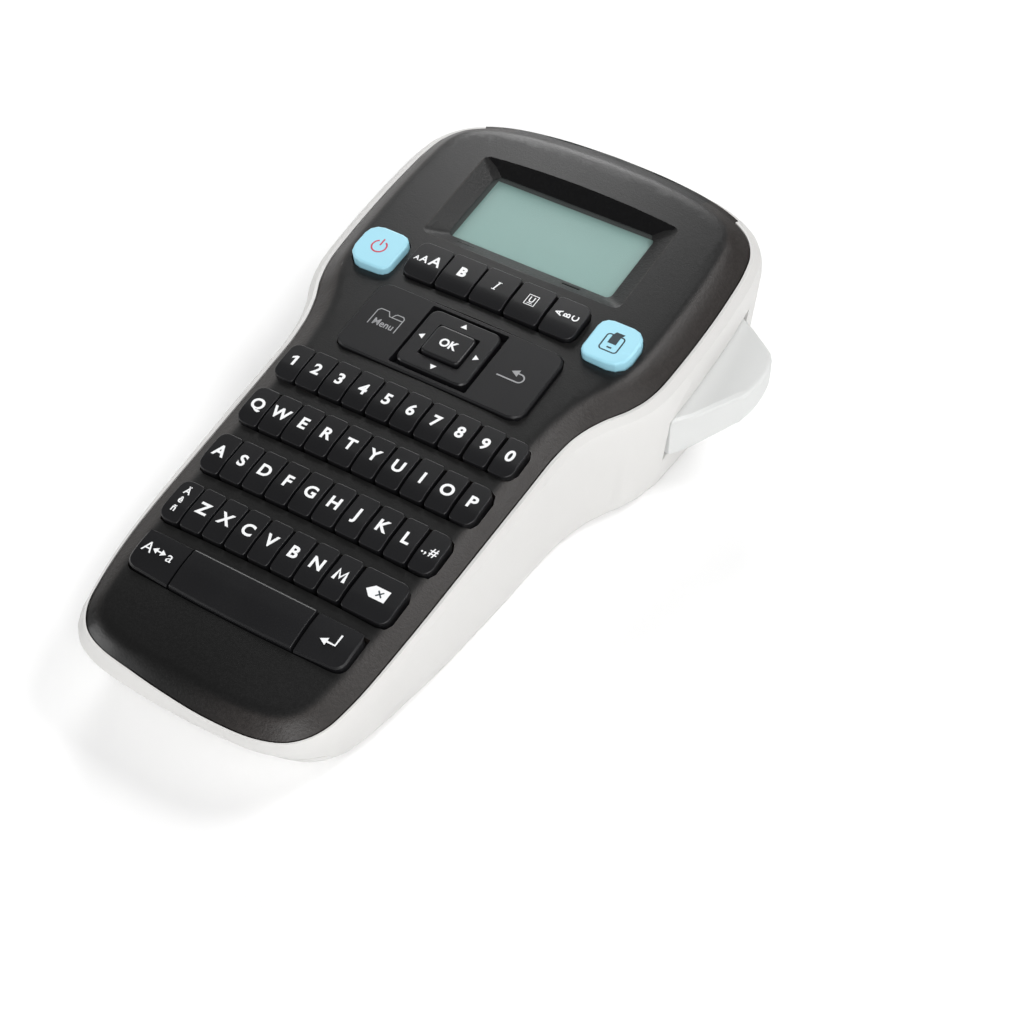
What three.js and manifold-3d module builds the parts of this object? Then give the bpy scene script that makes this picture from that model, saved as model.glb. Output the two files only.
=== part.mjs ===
import * as THREE from 'three';
import { mergeVertices } from 'three/addons/utils/BufferGeometryUtils.js';
import Module from 'manifold-3d';

// Handheld label maker lying on its back, in millimetres.
// +Z is up from the flat back, +Y runs to the display end, +X to the cutter lever.
// The origin is on the flat back, half way along the case.

const wasm = await Module();
wasm.setup();

// Shared fits
const seam = 0.4;
const play = 0.35;
const seat = 0.3;
const overrun = 6;
const weld = 0.0005;
const flatness = 0.02;

// Driving dimensions of the tilted face
const faceTilt = THREE.MathUtils.degToRad(8.2);
const faceHeight = 43;
const faceAlong = -4;
const crownRadius = 565;
const keyStand = 2;

// Front cover
const cover = {
  halfWidth: 52.9,
  length: 207.4,
  nearEnd: -98,
  wall: 2,
  skirt: 2.6,
  bandWidth: 6,
  handleDrop: 2,
  headDrop: 4.6,
  lipHalfWidth: 42.3,
  spineInset: 26,
};
const headEnd = cover.nearEnd + cover.length;

// Distances back from the display end, for all that keeps its place in the head
const setBack = {
  waist: { near: 97.4, far: 67.4 },
  spine: { far: 35.4 },
  screen: { nearEdge: 52.5, farEdge: 18.6, windowNear: 47.8, windowFar: 22.3 },
  format: { near: 69.1, far: 56.8 },
  action: { along: 64.2 },
  nav: { panelNear: 98.4, panelFar: 73.7 },
  board: { far: 54.9 },
  tray: { near: 87.6, far: 15.2, shelfNear: 105.4 },
  cassette: { near: 85.4 },
  tape: { rollY: 67.8 },
  platen: { y: 35.4 },
  head: { near: 47.4, far: 27.9 },
  lever: {
    near: 67.4,
    far: 27.8,
    tipNear: 51.4,
    tipMiddle: 42.1,
    tipFar: 35.9,
    pivotY: 68.8,
    elbowY: 29.4,
    armEndY: 22.4,
  },
  blade: { y: 21 },
  tapeDoor: { near: 89, far: 17.4 },
  screwRows: { far: 25.4, near: 75.4, middle: 101.7 },
  spring: { along: 49.4 },
};

/** Places along the machine from distances measured back from the display end. */
function fromHeadEnd(distances) {
  return Object.fromEntries(Object.entries(distances).map(([name, back]) => [name, headEnd - back]));
}

const waist = fromHeadEnd(setBack.waist);
const spine = {
  near: cover.nearEnd + cover.spineInset,
  ...fromHeadEnd(setBack.spine),
};

// Rear shell
const shell = {
  rim: 1.3,
  shoulderShare: 0.75,
  shoulderDrop: 1.5,
  handleFlare: 3,
  headFlare: 4,
  noseFlare: 1.2,
  flareDrop: 4,
  wallOffset: 1.2,
  wall: 2,
  handleUnder: 8,
  headUnder: 8,
  noseUnder: 12,
  noseRise: 18.5,
  noseTuck: 13,
  noseFrom: -20,
};

// Screen
const screen = {
  ...fromHeadEnd(setBack.screen),
  halfWidth: 31.4,
  cornerRadius: 3,
  windowHalf: 26.2,
  windowRadius: 0.8,
  depth: 3.7,
  tubWall: 1.4,
  lensMargin: 2,
  lensThick: 1,
  moduleMargin: 4,
  moduleThick: 4,
};

// Keys
const key = {
  bottom: -6.4,
  edge: 0.45,
  draft: 0.15,
  corner: 0.9,
  gap: 0.7,
  endCorner: 2.6,
  flange: 0.8,
};
const rows = {
  digits: { near: -5.95, far: 5.7, half: 37.1, count: 10 },
  upper: { near: -23, far: -10.9, half: 36.5, count: 10 },
  middle: { near: -40.4, far: -28.1, half: 35.7, count: 10 },
  lower: { near: -57.7, far: -45.2, half: 34.8, count: 10, singleCount: 8 },
  bottom: { near: -74.4, far: -62, half: 32.8, spaceHalf: 18.86, smile: 1.4, bow: 2.24, corner: 3 },
};
const format = { ...fromHeadEnd(setBack.format), half: 27.1, count: 5 };
const action = {
  ...fromHeadEnd(setBack.action),
  fromFormat: 3.3,
  halfWidth: 6.8,
  halfLength: 7,
  radii: [2.6, 4.2, 5, 3.4],
  stand: 0.4,
};
const nav = {
  ...fromHeadEnd(setBack.nav),
  panelHalf: 29.3,
  panelRadius: 3.6,
  panelStand: 0.5,
  panelThick: 3,
  ringHalfWidth: 11,
  ringHalfLength: 10,
  ringRadius: 2.4,
  ringStand: 1.2,
  okHalfWidth: 6,
  okHalfLength: 5.2,
  okRadius: 1.4,
  holeRadius: 0.4,
  okStand: 2.2,
  cradleThick: 0.6,
  cradleGap: 0.5,
  ringLift: 0.8,
  ringGap: 1,
};

// Sheets under the keys
const mat = { top: -7.3, thick: 0.9, inset: 5.2 };
const board = { thick: 1.6, inset: 5.6, nearInset: 14, ...fromHeadEnd(setBack.board) };

// Cassette bay and its tray
const tray = {
  ...fromHeadEnd(setBack.tray),
  left: -29.5,
  right: 41.6,
  cornerCut: 2.4,
  wall: 1.3,
  bottom: 3.1,
  deck: 23,
  deckThick: 2,
  shelfLeft: -8,
  shelfRight: 25,
};
const cassette = {
  ...fromHeadEnd(setBack.cassette),
  left: -26.2,
  width: 52.6,
  length: 61,
  bottom: 3.2,
  height: 18,
  corner: 3,
  wall: 1.4,
  windowDepth: 9,
  headClearNear: 4,
  headClearFar: 0.5,
};
const tape = {
  ...fromHeadEnd(setBack.tape),
  width: 12,
  thick: 0.3,
  across: 28.6,
  rollRadius: 15.5,
  rollX: -7,
};

// Print mechanism
const platen = { x: 34.2, ...fromHeadEnd(setBack.platen), radius: 5, shaft: 1.5, rubber: 13 };
const head = {
  ...fromHeadEnd(setBack.head),
  armWidth: 3.4,
  plateWidth: 1.6,
  height: 14,
  pivotX: 23.6,
  pivotInset: 0.5,
  pivotRadius: 1.2,
  face: 28.2,
  sinkDepth: 2.4,
};

// Gear train
const gear = {
  radiusPerTooth: 0.5,
  thick: 2.2,
  levelGap: 0.5,
  splines: 4,
  axle: 1.5,
  bore: 1.8,
  addendum: 0.85,
  dedendum: 1.05,
  toothShare: 0.29,
  tipShare: 0.12,
};
const teeth = {
  platenCount: 13,
  idlerCount: 19,
  secondSmallCount: 11,
  secondLargeCount: 24,
  firstSmallCount: 11,
  firstLargeCount: 28,
  motorCount: 8,
  ribbonCount: 16,
};
const trainHeadings = {
  idler: THREE.MathUtils.degToRad(247),
  second: THREE.MathUtils.degToRad(246),
  first: THREE.MathUtils.degToRad(246),
  motor: THREE.MathUtils.degToRad(252),
  ribbon: THREE.MathUtils.degToRad(172),
};
const motor = { radius: 7.8, length: 18, flat: 6, shaft: 1, boss: 2.6, bossHeight: 1.2 };

// Cutter
const lever = {
  ...fromHeadEnd(setBack.lever),
  nearTop: 28,
  farTop: 36.3,
  nearThick: 13,
  farThick: 6.5,
  edge: 1.6,
  root: 49.2,
  wallX: 55.2,
  tipX: 70,
  nearStep: 3.8,
  farStep: 4.4,
  tipRadius: 4,
  flange: 1.6,
  pivotX: 46.6,
  pin: 1.9,
  pinHead: 2.6,
  pivotBoss: 4.4,
  armWidth: 4,
  armThick: 4,
  armEndX: 43.4,
  travel: THREE.MathUtils.degToRad(8),
};
const blade = {
  ...fromHeadEnd(setBack.blade),
  width: 15,
  thick: 0.6,
  depth: 5,
  bevel: 1.2,
  rest: 33.8,
  carrierDepth: 3.4,
  carrierHalf: 2.6,
};
const anvil = { depth: 3, halfWidth: 2.8, slot: 1.4, slotDepth: 1.6 };

// Battery bay
const cells = { radius: 5.15, length: 44, pitch: 10.9, count: 6, nub: 1.9, nubHeight: 0.9, cap: 0.5 };
const bay = { near: -71, far: -19.2, half: 33.1, wall: 3, roof: 1.4, clear: 0.6 };
const contact = { thick: 0.6, height: 6.4, inset: 1.6, springRadius: 3, springTip: 1.4 };

// Doors
const batteryDoor = {
  half: 34.7,
  far: -17.6,
  topEdge: 12.6,
  gripHalf: 8,
  gripWidth: 1,
  gripFrom: 4,
  gripPitch: 3,
  grips: 4,
};
const tapeDoor = {
  ...fromHeadEnd(setBack.tapeDoor),
  left: -30.6,
  right: 39,
  corner: 6,
  barRadius: 1.4,
  pin: 0.8,
  pinLength: 2.2,
};

// Small fittings
const screw = { shank: 1.1, head: 2.2, headHeight: 1.8, length: 12, sink: 22, boss: 3.9, bossTop: 26 };
const screwRows = fromHeadEnd(setBack.screwRows);
const screwColumns = { head: 43, middle: 34.5 };
const screwPlaces = [
  [-screwColumns.head, screwRows.far],
  [-screwColumns.head, screwRows.near],
  [-screwColumns.middle, screwRows.middle],
  [screwColumns.middle, screwRows.middle],
];
const jack = { x: -30, z: 32, radius: 3.1, barrel: 4.6, depth: 9, bodyEnd: 14.4, half: 5.6, pin: 0.9 };
const exit = { low: 4.2, height: 15, halfWidth: 2.6 };
const spring = {
  ...fromHeadEnd(setBack.spring),
  turns: 4,
  radius: 2.6,
  wire: 0.4,
  stepsPerTurn: 7,
  tabHalf: 4,
  tabTop: 31,
};

// Colours
const colour = {
  charcoal: 0x454345,
  panel: 0x333335,
  keycap: 0x262628,
  cyan: 0x84d6ea,
  shell: 0xe2e3df,
  lever: 0xd9dcdb,
  screenGrey: 0x8fb0a8,
  glass: 0xb8c6c4,
  rubber: 0x3a3a3c,
  board: 0x2c5b3a,
  steel: 0xb9bcc0,
  brass: 0xc9a860,
  gearWhite: 0xe9e6da,
  trayBlack: 0x2b2b2d,
  cassette: 0x55555a,
  tape: 0xf4f3ee,
  ribbon: 0x1d1d20,
  cell: 0x3f6f9a,
};

/** One closed body as a boolean solid, from a geometry with any normals and uvs. */
function solidOf(geometry) {
  const bare = geometry.clone();
  bare.deleteAttribute('normal');
  bare.deleteAttribute('uv');
  const merged = mergeVertices(bare, weld);
  const faces = [];
  for (let i = 0; i < merged.index.count; i += 3) {
    const [a, b, c] = [0, 1, 2].map((k) => merged.index.getX(i + k));
    if (a !== b && b !== c && c !== a) faces.push(a, b, c);
  }
  return new wasm.Manifold(new wasm.Mesh({
    numProp: 3,
    vertProperties: new Float32Array(merged.attributes.position.array),
    triVerts: new Uint32Array(faces),
  }));
}

/** A drawable geometry from a boolean solid. */
function geometryOf(solid) {
  const mesh = solid.asOriginal().simplify(flatness).getMesh();
  const geometry = new THREE.BufferGeometry();
  geometry.setAttribute('position', new THREE.BufferAttribute(mesh.vertProperties, mesh.numProp));
  geometry.setIndex(new THREE.BufferAttribute(mesh.triVerts, 1));
  geometry.computeVertexNormals();
  return geometry;
}

const moved = (geometry, x, y, z) => geometry.clone().translate(x, y, z);
const union = (solids) => solids.reduce((sum, solid) => sum.add(solid));
const mix = THREE.MathUtils.lerp;
const smooth = THREE.MathUtils.smoothstep;

/** A block between two corners. */
function block(x0, x1, y0, y1, z0, z1) {
  const geometry = new THREE.BoxGeometry(x1 - x0, y1 - y0, z1 - z0);
  return geometry.translate((x0 + x1) / 2, (y0 + y1) / 2, (z0 + z1) / 2);
}

/** A round bar standing on z0. */
function post(x, y, radius, z0, z1, sides = 16) {
  const geometry = new THREE.CylinderGeometry(radius, radius, z1 - z0, sides);
  return geometry.rotateX(Math.PI / 2).translate(x, y, (z0 + z1) / 2);
}

/** A body of revolution standing on z 0, from [radius, height] pairs that start and end on the axis. */
function turned(profile, sides) {
  const points = profile.map(([radius, height]) => new THREE.Vector2(radius, height));
  return new THREE.LatheGeometry(points, sides).rotateX(Math.PI / 2);
}

/** A rectangle with a radius for each corner: near left, near right, far right, far left. */
function roundedShape(x0, x1, y0, y1, radii, segments = 3) {
  const [nearLeft, nearRight, farRight, farLeft] = Array.isArray(radii) ? radii : Array(4).fill(radii);
  const corners = [
    [x0 + nearLeft, y0 + nearLeft, nearLeft, Math.PI],
    [x1 - nearRight, y0 + nearRight, nearRight, 1.5 * Math.PI],
    [x1 - farRight, y1 - farRight, farRight, 0],
    [x0 + farLeft, y1 - farLeft, farLeft, 0.5 * Math.PI],
  ];
  const points = corners.flatMap(([x, y, radius, start]) => arcPoints(x, y, radius, start, segments));
  return new THREE.Shape(points);
}

/** Points of a quarter circle. */
function arcPoints(x, y, radius, start, segments) {
  return Array.from({ length: segments + 1 }, (_, i) => {
    const angle = start + (0.5 * Math.PI * i) / segments;
    return new THREE.Vector2(x + radius * Math.cos(angle), y + radius * Math.sin(angle));
  });
}

/** A flat shape given thickness from z0 to z1, its upper and lower edges broken where edge is given. */
function slab(shape, z0, z1, edge = 0, segments = 1) {
  const options = { depth: z1 - z0 - 2 * edge, bevelEnabled: edge > 0, steps: 1, curveSegments: 6 };
  if (edge > 0) {
    Object.assign(options, {
      bevelThickness: edge,
      bevelSize: edge,
      bevelOffset: -edge,
      bevelSegments: segments,
    });
  }
  return new THREE.ExtrudeGeometry(shape, options).translate(0, 0, z0 + edge);
}

// Frames: the face frame lies in the tilted face, with its origin at the digit keys' tops
const caseFromFace = new THREE.Matrix4()
  .makeTranslation(0, faceAlong, faceHeight)
  .multiply(new THREE.Matrix4().makeRotationX(faceTilt));
const faceFromCase = caseFromFace.clone().invert();
const inFace = (geometry) => geometry.clone().applyMatrix4(faceFromCase);

const plateHeight = (x) => -keyStand - (x * x) / (2 * crownRadius);
const keyTop = (x) => plateHeight(x) + keyStand;

// The case outline, far end to near end, as shares of half the cover's width and of its length
const outlineShares = [
  [0, 1], [0.378, 0.9966], [0.624, 0.9884], [0.781, 0.976], [0.883, 0.9595], [0.949, 0.9355],
  [0.981, 0.901], [0.994, 0.857], [1, 0.809], [0.995, 0.728], [0.975, 0.666], [0.925, 0.627],
  [0.862, 0.596], [0.807, 0.557],
  [0.78, 0.513], [0.773, 0.458], [0.761, 0.338], [0.745, 0.193], [0.72, 0.096], [0.681, 0.052],
  [0.595, 0.0236], [0.454, 0.0079], [0.227, 0.0015], [0, 0],
];

// Points per share on the outer skins
const skinSteps = 1.35;

/** Points round the case outline with their outward directions. */
function outline(stepsPerShare) {
  const half = outlineShares.map(([wide, long]) => new THREE.Vector3(
    wide * cover.halfWidth,
    cover.nearEnd + long * cover.length,
    0,
  ));
  const other = half.slice(1, -1).reverse().map((point) => new THREE.Vector3(-point.x, point.y, 0));
  const curve = new THREE.CatmullRomCurve3([...half, ...other], true, 'centripetal');
  const count = Math.round((half.length + other.length) * stepsPerShare);
  return Array.from({ length: count }, (_, i) => {
    const point = curve.getPoint(i / count);
    const along = curve.getTangent(i / count);
    return { x: point.x, y: point.y, nx: -along.y, ny: along.x };
  });
}

const waistShare = (y) => smooth(y, waist.near, waist.far);
const edgeDrop = (y) => mix(cover.handleDrop, cover.headDrop, waistShare(y));
const edgeHeight = (point) => plateHeight(point.x) - edgeDrop(point.y);

/** A closed body from rings of equal count, ordered from its lower end to its upper end. */
function loft(rings, capLower, capUpper) {
  const positions = [];
  const push = (...points) => points.forEach((point) => positions.push(point.x, point.y, point.z));
  for (let r = 1; r < rings.length; r += 1) {
    const [low, high] = [rings[r - 1], rings[r]];
    low.forEach((point, i) => {
      const j = (i + 1) % low.length;
      push(point, low[j], high[j]);
      push(point, high[j], high[i]);
    });
  }
  const cap = (ring, upwards) => {
    const contour = ring.map((point) => new THREE.Vector2(point.x, point.y));
    THREE.ShapeUtils.triangulateShape(contour, []).forEach(([a, b, c]) => {
      push(ring[a], ring[upwards ? b : c], ring[upwards ? c : b]);
    });
  };
  if (capLower) cap(rings[0], false);
  if (capUpper) cap(rings[rings.length - 1], true);
  const geometry = new THREE.BufferGeometry();
  geometry.setAttribute('position', new THREE.Float32BufferAttribute(positions, 3));
  return geometry;
}

/** The outline listed counterclockwise seen from above, shifted by a rule for each point. */
function ringOf(points, rule) {
  return points.map(rule).reverse();
}

const insetPoint = (point, inset, z) => new THREE.Vector3(
  point.x - point.nx * inset,
  point.y - point.ny * inset,
  z,
);

/** A point drawn in towards the cover's middle line. */
function towardsSpine(point, inset, share, height) {
  const start = insetPoint(point, inset, 0);
  const spineY = THREE.MathUtils.clamp(start.y, spine.near, spine.far);
  const x = mix(start.x, 0, share);
  return new THREE.Vector3(x, mix(start.y, spineY, share), height(x));
}

/** The front cover's skin: a crowned plate with a sloping band round it and a skirt. */
function coverSkin() {
  const outer = outline(skinSteps);
  const inner = outline(1);
  const lipShare = 0.14;
  const lipDropShare = 0.74;
  const crownShare = 0.45;
  const shoulderHeight = (point) => plateHeight(point.x - point.nx * cover.bandWidth);
  const skirtHeight = (point) => edgeHeight(point) - cover.skirt;
  const lipHeight = (point) => plateHeight(point.x) - lipDropShare * edgeDrop(point.y);
  const body = loft([
    ringOf(outer, (point) => insetPoint(point, 2 * cover.wall, skirtHeight(point))),
    ringOf(outer, (point) => insetPoint(point, 0, skirtHeight(point))),
    ringOf(outer, (point) => insetPoint(point, 0, edgeHeight(point))),
    ringOf(outer, (point) => insetPoint(point, lipShare * cover.bandWidth, lipHeight(point))),
    ringOf(outer, (point) => insetPoint(point, cover.bandWidth, shoulderHeight(point))),
    ringOf(outer, (point) => towardsSpine(point, cover.bandWidth, crownShare, plateHeight)),
    ringOf(outer, (point) => towardsSpine(point, cover.bandWidth, 1, plateHeight)),
  ], true, false);
  const underside = (x) => plateHeight(x) - cover.wall;
  const hollow = loft([
    ringOf(inner, (point) => insetPoint(point, cover.wall, skirtHeight(point) - overrun)),
    ringOf(inner, (point) => insetPoint(point, cover.wall, edgeHeight(point) - cover.wall / 2)),
    ringOf(inner, (point) => insetPoint(point, cover.bandWidth, underside(point.x))),
    ringOf(inner, (point) => towardsSpine(point, cover.bandWidth, 1, underside)),
  ], true, false);
  return solidOf(body).subtract(solidOf(hollow));
}

/** The opening that a group of keys shares. */
function keyOpening(x0, x1, y0, y1, radii) {
  const grown = Array.isArray(radii) ? radii.map((radius) => radius + play) : radii + play;
  const shape = roundedShape(x0 - play, x1 + play, y0 - play, y1 + play, grown, 2);
  return solidOf(slab(shape, key.bottom - overrun, overrun));
}

/** A rectangular funnel between two rounded rectangles. */
function funnel(lower, upper, z0, z1) {
  const ring = (box, z) => roundedShape(box.x0, box.x1, box.y0, box.y1, box.radius).getPoints()
    .map((point) => new THREE.Vector3(point.x, point.y, z));
  return loft([ring(lower, z0), ring(upper, z1)], true, true);
}

const screenFloor = plateHeight(0) - screen.depth;

/** The sloping recess over the display, grown by a margin for the tub that forms it. */
function screenRecess(margin, low, high) {
  const slope = (screen.halfWidth - screen.windowHalf) / screen.depth;
  const rise = (high - plateHeight(0)) * slope;
  const drop = (low - screenFloor) * slope;
  const lower = {
    x0: -screen.windowHalf - margin - drop,
    x1: screen.windowHalf + margin + drop,
    y0: screen.windowNear - margin - drop,
    y1: screen.windowFar + margin + drop,
    radius: screen.windowRadius + margin,
  };
  const upper = {
    x0: -screen.halfWidth - margin - rise,
    x1: screen.halfWidth + margin + rise,
    y0: screen.nearEdge - margin - rise,
    y1: screen.farEdge + margin + rise,
    radius: screen.cornerRadius + margin,
  };
  return solidOf(funnel(lower, upper, low, high));
}

/** Where the screws stand, in the case frame. */
function screwBosses(radius, z0, z1) {
  return screwPlaces.map(([x, y]) => post(x, y, radius, z0, z1, 12));
}

/** The strip by which the cover laps over the shell at the display end. */
function farLip(reach, drop, spread, lift = 0) {
  const lipHalf = cover.lipHalfWidth + spread;
  const inHead = (point) => point.y > screen.nearEdge && Math.abs(point.x) < lipHalf;
  const run = outline(skinSteps).filter(inHead).sort((a, b) => b.x - a.x);
  const ring = [
    ...run.map((point) => insetPoint(point, -reach, 0)),
    ...run.slice().reverse().map((point) => insetPoint(point, cover.wall / 2, 0)),
  ];
  const height = edgeHeight({ x: 0, y: headEnd });
  const sagged = (point, z) => new THREE.Vector3(point.x, point.y, z + plateHeight(point.x) + keyStand);
  return loft([
    ring.map((point) => sagged(point, height - drop)),
    ring.map((point) => sagged(point, height + lift)),
  ], true, true);
}

/** The front cover with its openings, screen tub and screw bosses. */
function frontCover() {
  const tubFloor = screenFloor;
  let body = coverSkin();
  body = body.add(screenRecess(screen.tubWall, tubFloor, plateHeight(screen.halfWidth) - cover.wall / 2));
  body = body.add(solidOf(farLip(shell.rim, shell.rim, 0)));
  const bosses = screwBosses(screw.boss, screw.bossTop + seat, faceHeight + overrun)
    .map((geometry) => solidOf(inFace(geometry)))
    .map((boss) => boss.intersect(solidOf(coverBelow())));
  body = body.add(union(bosses));
  const cuts = [
    screenRecess(0, tubFloor - overrun, overrun),
    keyOpening(-format.half, format.half, format.near, format.far, key.endCorner),
    keyOpening(-nav.panelHalf, nav.panelHalf, nav.panelNear, nav.panelFar, nav.panelRadius),
    ...['digits', 'upper', 'middle', 'lower'].map((name) => rows[name])
      .map((row) => keyOpening(-row.half, row.half, row.near, row.far, key.endCorner)),
    solidOf(slab(bottomRowShape(play), key.bottom - overrun, overrun)),
    ...[-1, 1].map((side) => actionOpening(side)),
    ...screwBosses(screw.shank + seat / 2, screw.bossTop - overrun, screw.sink + screw.length + 2 * seat)
      .map((geometry) => solidOf(inFace(geometry))),
  ];
  return cuts.reduce((solid, cut) => solid.subtract(cut), body);
}

/** The space under the cover's plate that the screw bosses may fill. */
function coverBelow() {
  const inner = outline(1);
  const ceiling = (x) => plateHeight(x) - cover.wall / 2;
  return loft([
    ringOf(inner, (point) => insetPoint(point, cover.wall, -faceHeight)),
    ringOf(inner, (point) => insetPoint(point, cover.wall, edgeHeight(point))),
    ringOf(inner, (point) => insetPoint(point, cover.bandWidth, ceiling(point.x))),
    ringOf(inner, (point) => towardsSpine(point, cover.bandWidth, 1, ceiling)),
  ], true, false);
}

const actionCentre = format.half + action.fromFormat + action.halfWidth;

/** One power or print button outline, its round corners to the outside. */
function actionShape(side, grow) {
  const centre = side * actionCentre;
  const [innerNear, outerFar, outerNear, innerFar] = action.radii;
  const radii = side > 0
    ? [innerNear, outerNear, outerFar, innerFar]
    : [outerNear, innerNear, innerFar, outerFar];
  return roundedShape(
    centre - action.halfWidth - grow,
    centre + action.halfWidth + grow,
    action.along - action.halfLength - grow,
    action.along + action.halfLength + grow,
    radii.map((radius) => radius + grow),
  );
}

const actionOpening = (side) => solidOf(slab(actionShape(side, play), key.bottom - overrun, overrun));

/** The space row's outline, its near edge bowed like a smile and its near corners round. */
function bottomRowShape(grow) {
  const { near, far, half, smile, bow, corner } = rows.bottom;
  const low = near + smile - grow;
  const side = half + grow;
  const shape = new THREE.Shape();
  shape.moveTo(-side, far + grow);
  shape.lineTo(-side, low + corner);
  shape.quadraticCurveTo(-side, low, -side + corner, low - smile / 4);
  shape.quadraticCurveTo(0, low - bow, side - corner, low - smile / 4);
  shape.quadraticCurveTo(side, low, side, low + corner);
  shape.lineTo(side, far + grow);
  return shape;
}

/** A pressed key between two places across a row, its upper edge broken. */
function keyBlock(x0, x1, y0, y1, radii, foot = key.bottom) {
  const top = keyTop((x0 + x1) / 2);
  const segments = Math.max(...radii) > key.corner ? 2 : 1;
  const ring = (inset, z) => roundedShape(
    x0 + inset,
    x1 - inset,
    y0 + inset,
    y1 - inset,
    radii.map((radius) => radius - inset / 2),
    segments,
  ).getPoints().map((point) => new THREE.Vector3(point.x, point.y, z));
  return loft([
    ring(0, foot),
    ring(key.draft, top - key.edge),
    ring(key.draft + key.edge, top),
  ], true, true);
}

/** The corner radii of one key of a row, larger at the row's ends. */
function rowRadii(isFirst, isLast) {
  const left = isFirst ? key.endCorner : key.corner;
  const right = isLast ? key.endCorner : key.corner;
  return [left, right, right, left];
}

/** The keys of a row from index first to last. */
function rowKeys(row, first, last, foot) {
  const pitch = (2 * row.half + key.gap) / row.count;
  return Array.from({ length: last - first + 1 }, (_, k) => {
    const index = first + k;
    const x0 = -row.half + index * pitch;
    const radii = rowRadii(index === 0, index === row.count - 1);
    return keyBlock(x0, x0 + pitch - key.gap, row.near, row.far, radii, foot);
  });
}

/** Neighbouring keys of a row, moulded in one piece with the flange that joins them below the cover. */
function rowStrip(row, first, last) {
  const pitch = (2 * row.half + key.gap) / row.count;
  const flangeTop = key.bottom + key.flange;
  const flange = block(
    -row.half + first * pitch + key.endCorner,
    -row.half + (last + 1) * pitch - key.gap - key.endCorner,
    row.near - key.flange,
    row.far + key.flange,
    key.bottom,
    flangeTop,
  );
  return geometryOf(union([solidOf(flange), ...rowKeys(row, first, last, flangeTop).map(solidOf)]));
}

/** One key of the bottom row, cut from the bowed outline. */
function bottomRowKey(x0, x1) {
  const solid = solidOf(slab(bottomRowShape(0), key.bottom, keyTop((x0 + x1) / 2), key.edge));
  const low = rows.bottom.near - overrun;
  const slice = solidOf(block(x0, x1, low, rows.bottom.far + overrun, key.bottom - overrun, overrun));
  return geometryOf(solid.intersect(slice));
}

const spaceHalf = rows.bottom.spaceHalf;
const lowerPitch = (2 * rows.lower.half + key.gap) / rows.lower.count;
const backspaceFrom = lowerPitch * rows.lower.singleCount - rows.lower.half;

/** The panel whose ends are the menu key and the back key. */
function navPanel() {
  const shape = roundedShape(-nav.panelHalf, nav.panelHalf, nav.panelNear, nav.panelFar, nav.panelRadius);
  const middle = (nav.panelNear + nav.panelFar) / 2;
  const hole = roundedShape(
    -nav.ringHalfWidth - nav.ringGap,
    nav.ringHalfWidth + nav.ringGap,
    middle - nav.ringHalfLength - nav.ringGap,
    middle + nav.ringHalfLength + nav.ringGap,
    nav.holeRadius,
  );
  const top = plateHeight(0) + nav.panelStand;
  const plate = solidOf(slab(shape, top - nav.panelThick, top, key.edge));
  return geometryOf(plate.subtract(solidOf(slab(hole, top - nav.panelThick - overrun, top + overrun))));
}

/** A four-way rocker with a dished middle and a hole for the OK button. */
function navRing() {
  const middle = (nav.panelNear + nav.panelFar) / 2;
  const shape = roundedShape(
    -nav.ringHalfWidth,
    nav.ringHalfWidth,
    middle - nav.ringHalfLength,
    middle + nav.ringHalfLength,
    nav.ringRadius,
  );
  const top = plateHeight(0) + nav.ringStand;
  const hole = roundedShape(
    -nav.okHalfWidth - seam,
    nav.okHalfWidth + seam,
    middle - nav.okHalfLength - seam,
    middle + nav.okHalfLength + seam,
    nav.holeRadius,
  );
  const body = solidOf(slab(shape, key.bottom + nav.ringLift, top, key.edge));
  return geometryOf(body.subtract(solidOf(slab(hole, key.bottom - overrun, top + overrun))));
}

/** The rubber frame on which the four-way rocker tips. */
function navCradle() {
  const middle = (nav.panelNear + nav.panelFar) / 2;
  const top = key.bottom + nav.ringLift - nav.cradleGap;
  const shape = roundedShape(
    -nav.ringHalfWidth + seam,
    nav.ringHalfWidth - seam,
    middle - nav.ringHalfLength + seam,
    middle + nav.ringHalfLength - seam,
    nav.ringRadius,
  );
  const hole = roundedShape(
    -nav.okHalfWidth - seam,
    nav.okHalfWidth + seam,
    middle - nav.okHalfLength - seam,
    middle + nav.okHalfLength + seam,
    nav.holeRadius,
  );
  shape.holes.push(new THREE.Path(hole.getPoints()));
  return slab(shape, top - nav.cradleThick, top);
}

/** The OK button in the middle of the rocker. */
function okButton() {
  const middle = (nav.panelNear + nav.panelFar) / 2;
  const shape = roundedShape(
    -nav.okHalfWidth,
    nav.okHalfWidth,
    middle - nav.okHalfLength,
    middle + nav.okHalfLength,
    nav.okRadius,
    2,
  );
  return slab(shape, key.bottom, plateHeight(0) + nav.okStand, key.edge);
}

/** A sheet that follows the case outline between two places along it. */
function outlineSheet(inset, near, far, z0, z1) {
  const points = outline(1).map((point) => insetPoint(point, inset, 0));
  const shape = new THREE.Shape(points.map((point) => new THREE.Vector2(point.x, point.y)).reverse());
  const reach = cover.halfWidth + overrun;
  const sheet = solidOf(slab(shape, z0, z1));
  return sheet.intersect(solidOf(block(-reach, reach, near, far, z0 - overrun, z1 + overrun)));
}

/** Screw bosses of the cover, as cuts in the sheets that they pass. */
function bossCuts() {
  return screwBosses(screw.boss + seam, 0, 2 * faceHeight).map((geometry) => solidOf(inFace(geometry)));
}

/** The rubber sheet on which the keys stand. */
function keypadMat() {
  const sheet = outlineSheet(mat.inset, boardNear, board.far, mat.top - mat.thick, mat.top);
  return geometryOf(bossCuts().reduce((solid, cut) => solid.subtract(cut), sheet));
}

const boardTop = mat.top - mat.thick - seat;
const boardNear = cover.nearEnd + board.nearInset;

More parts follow.
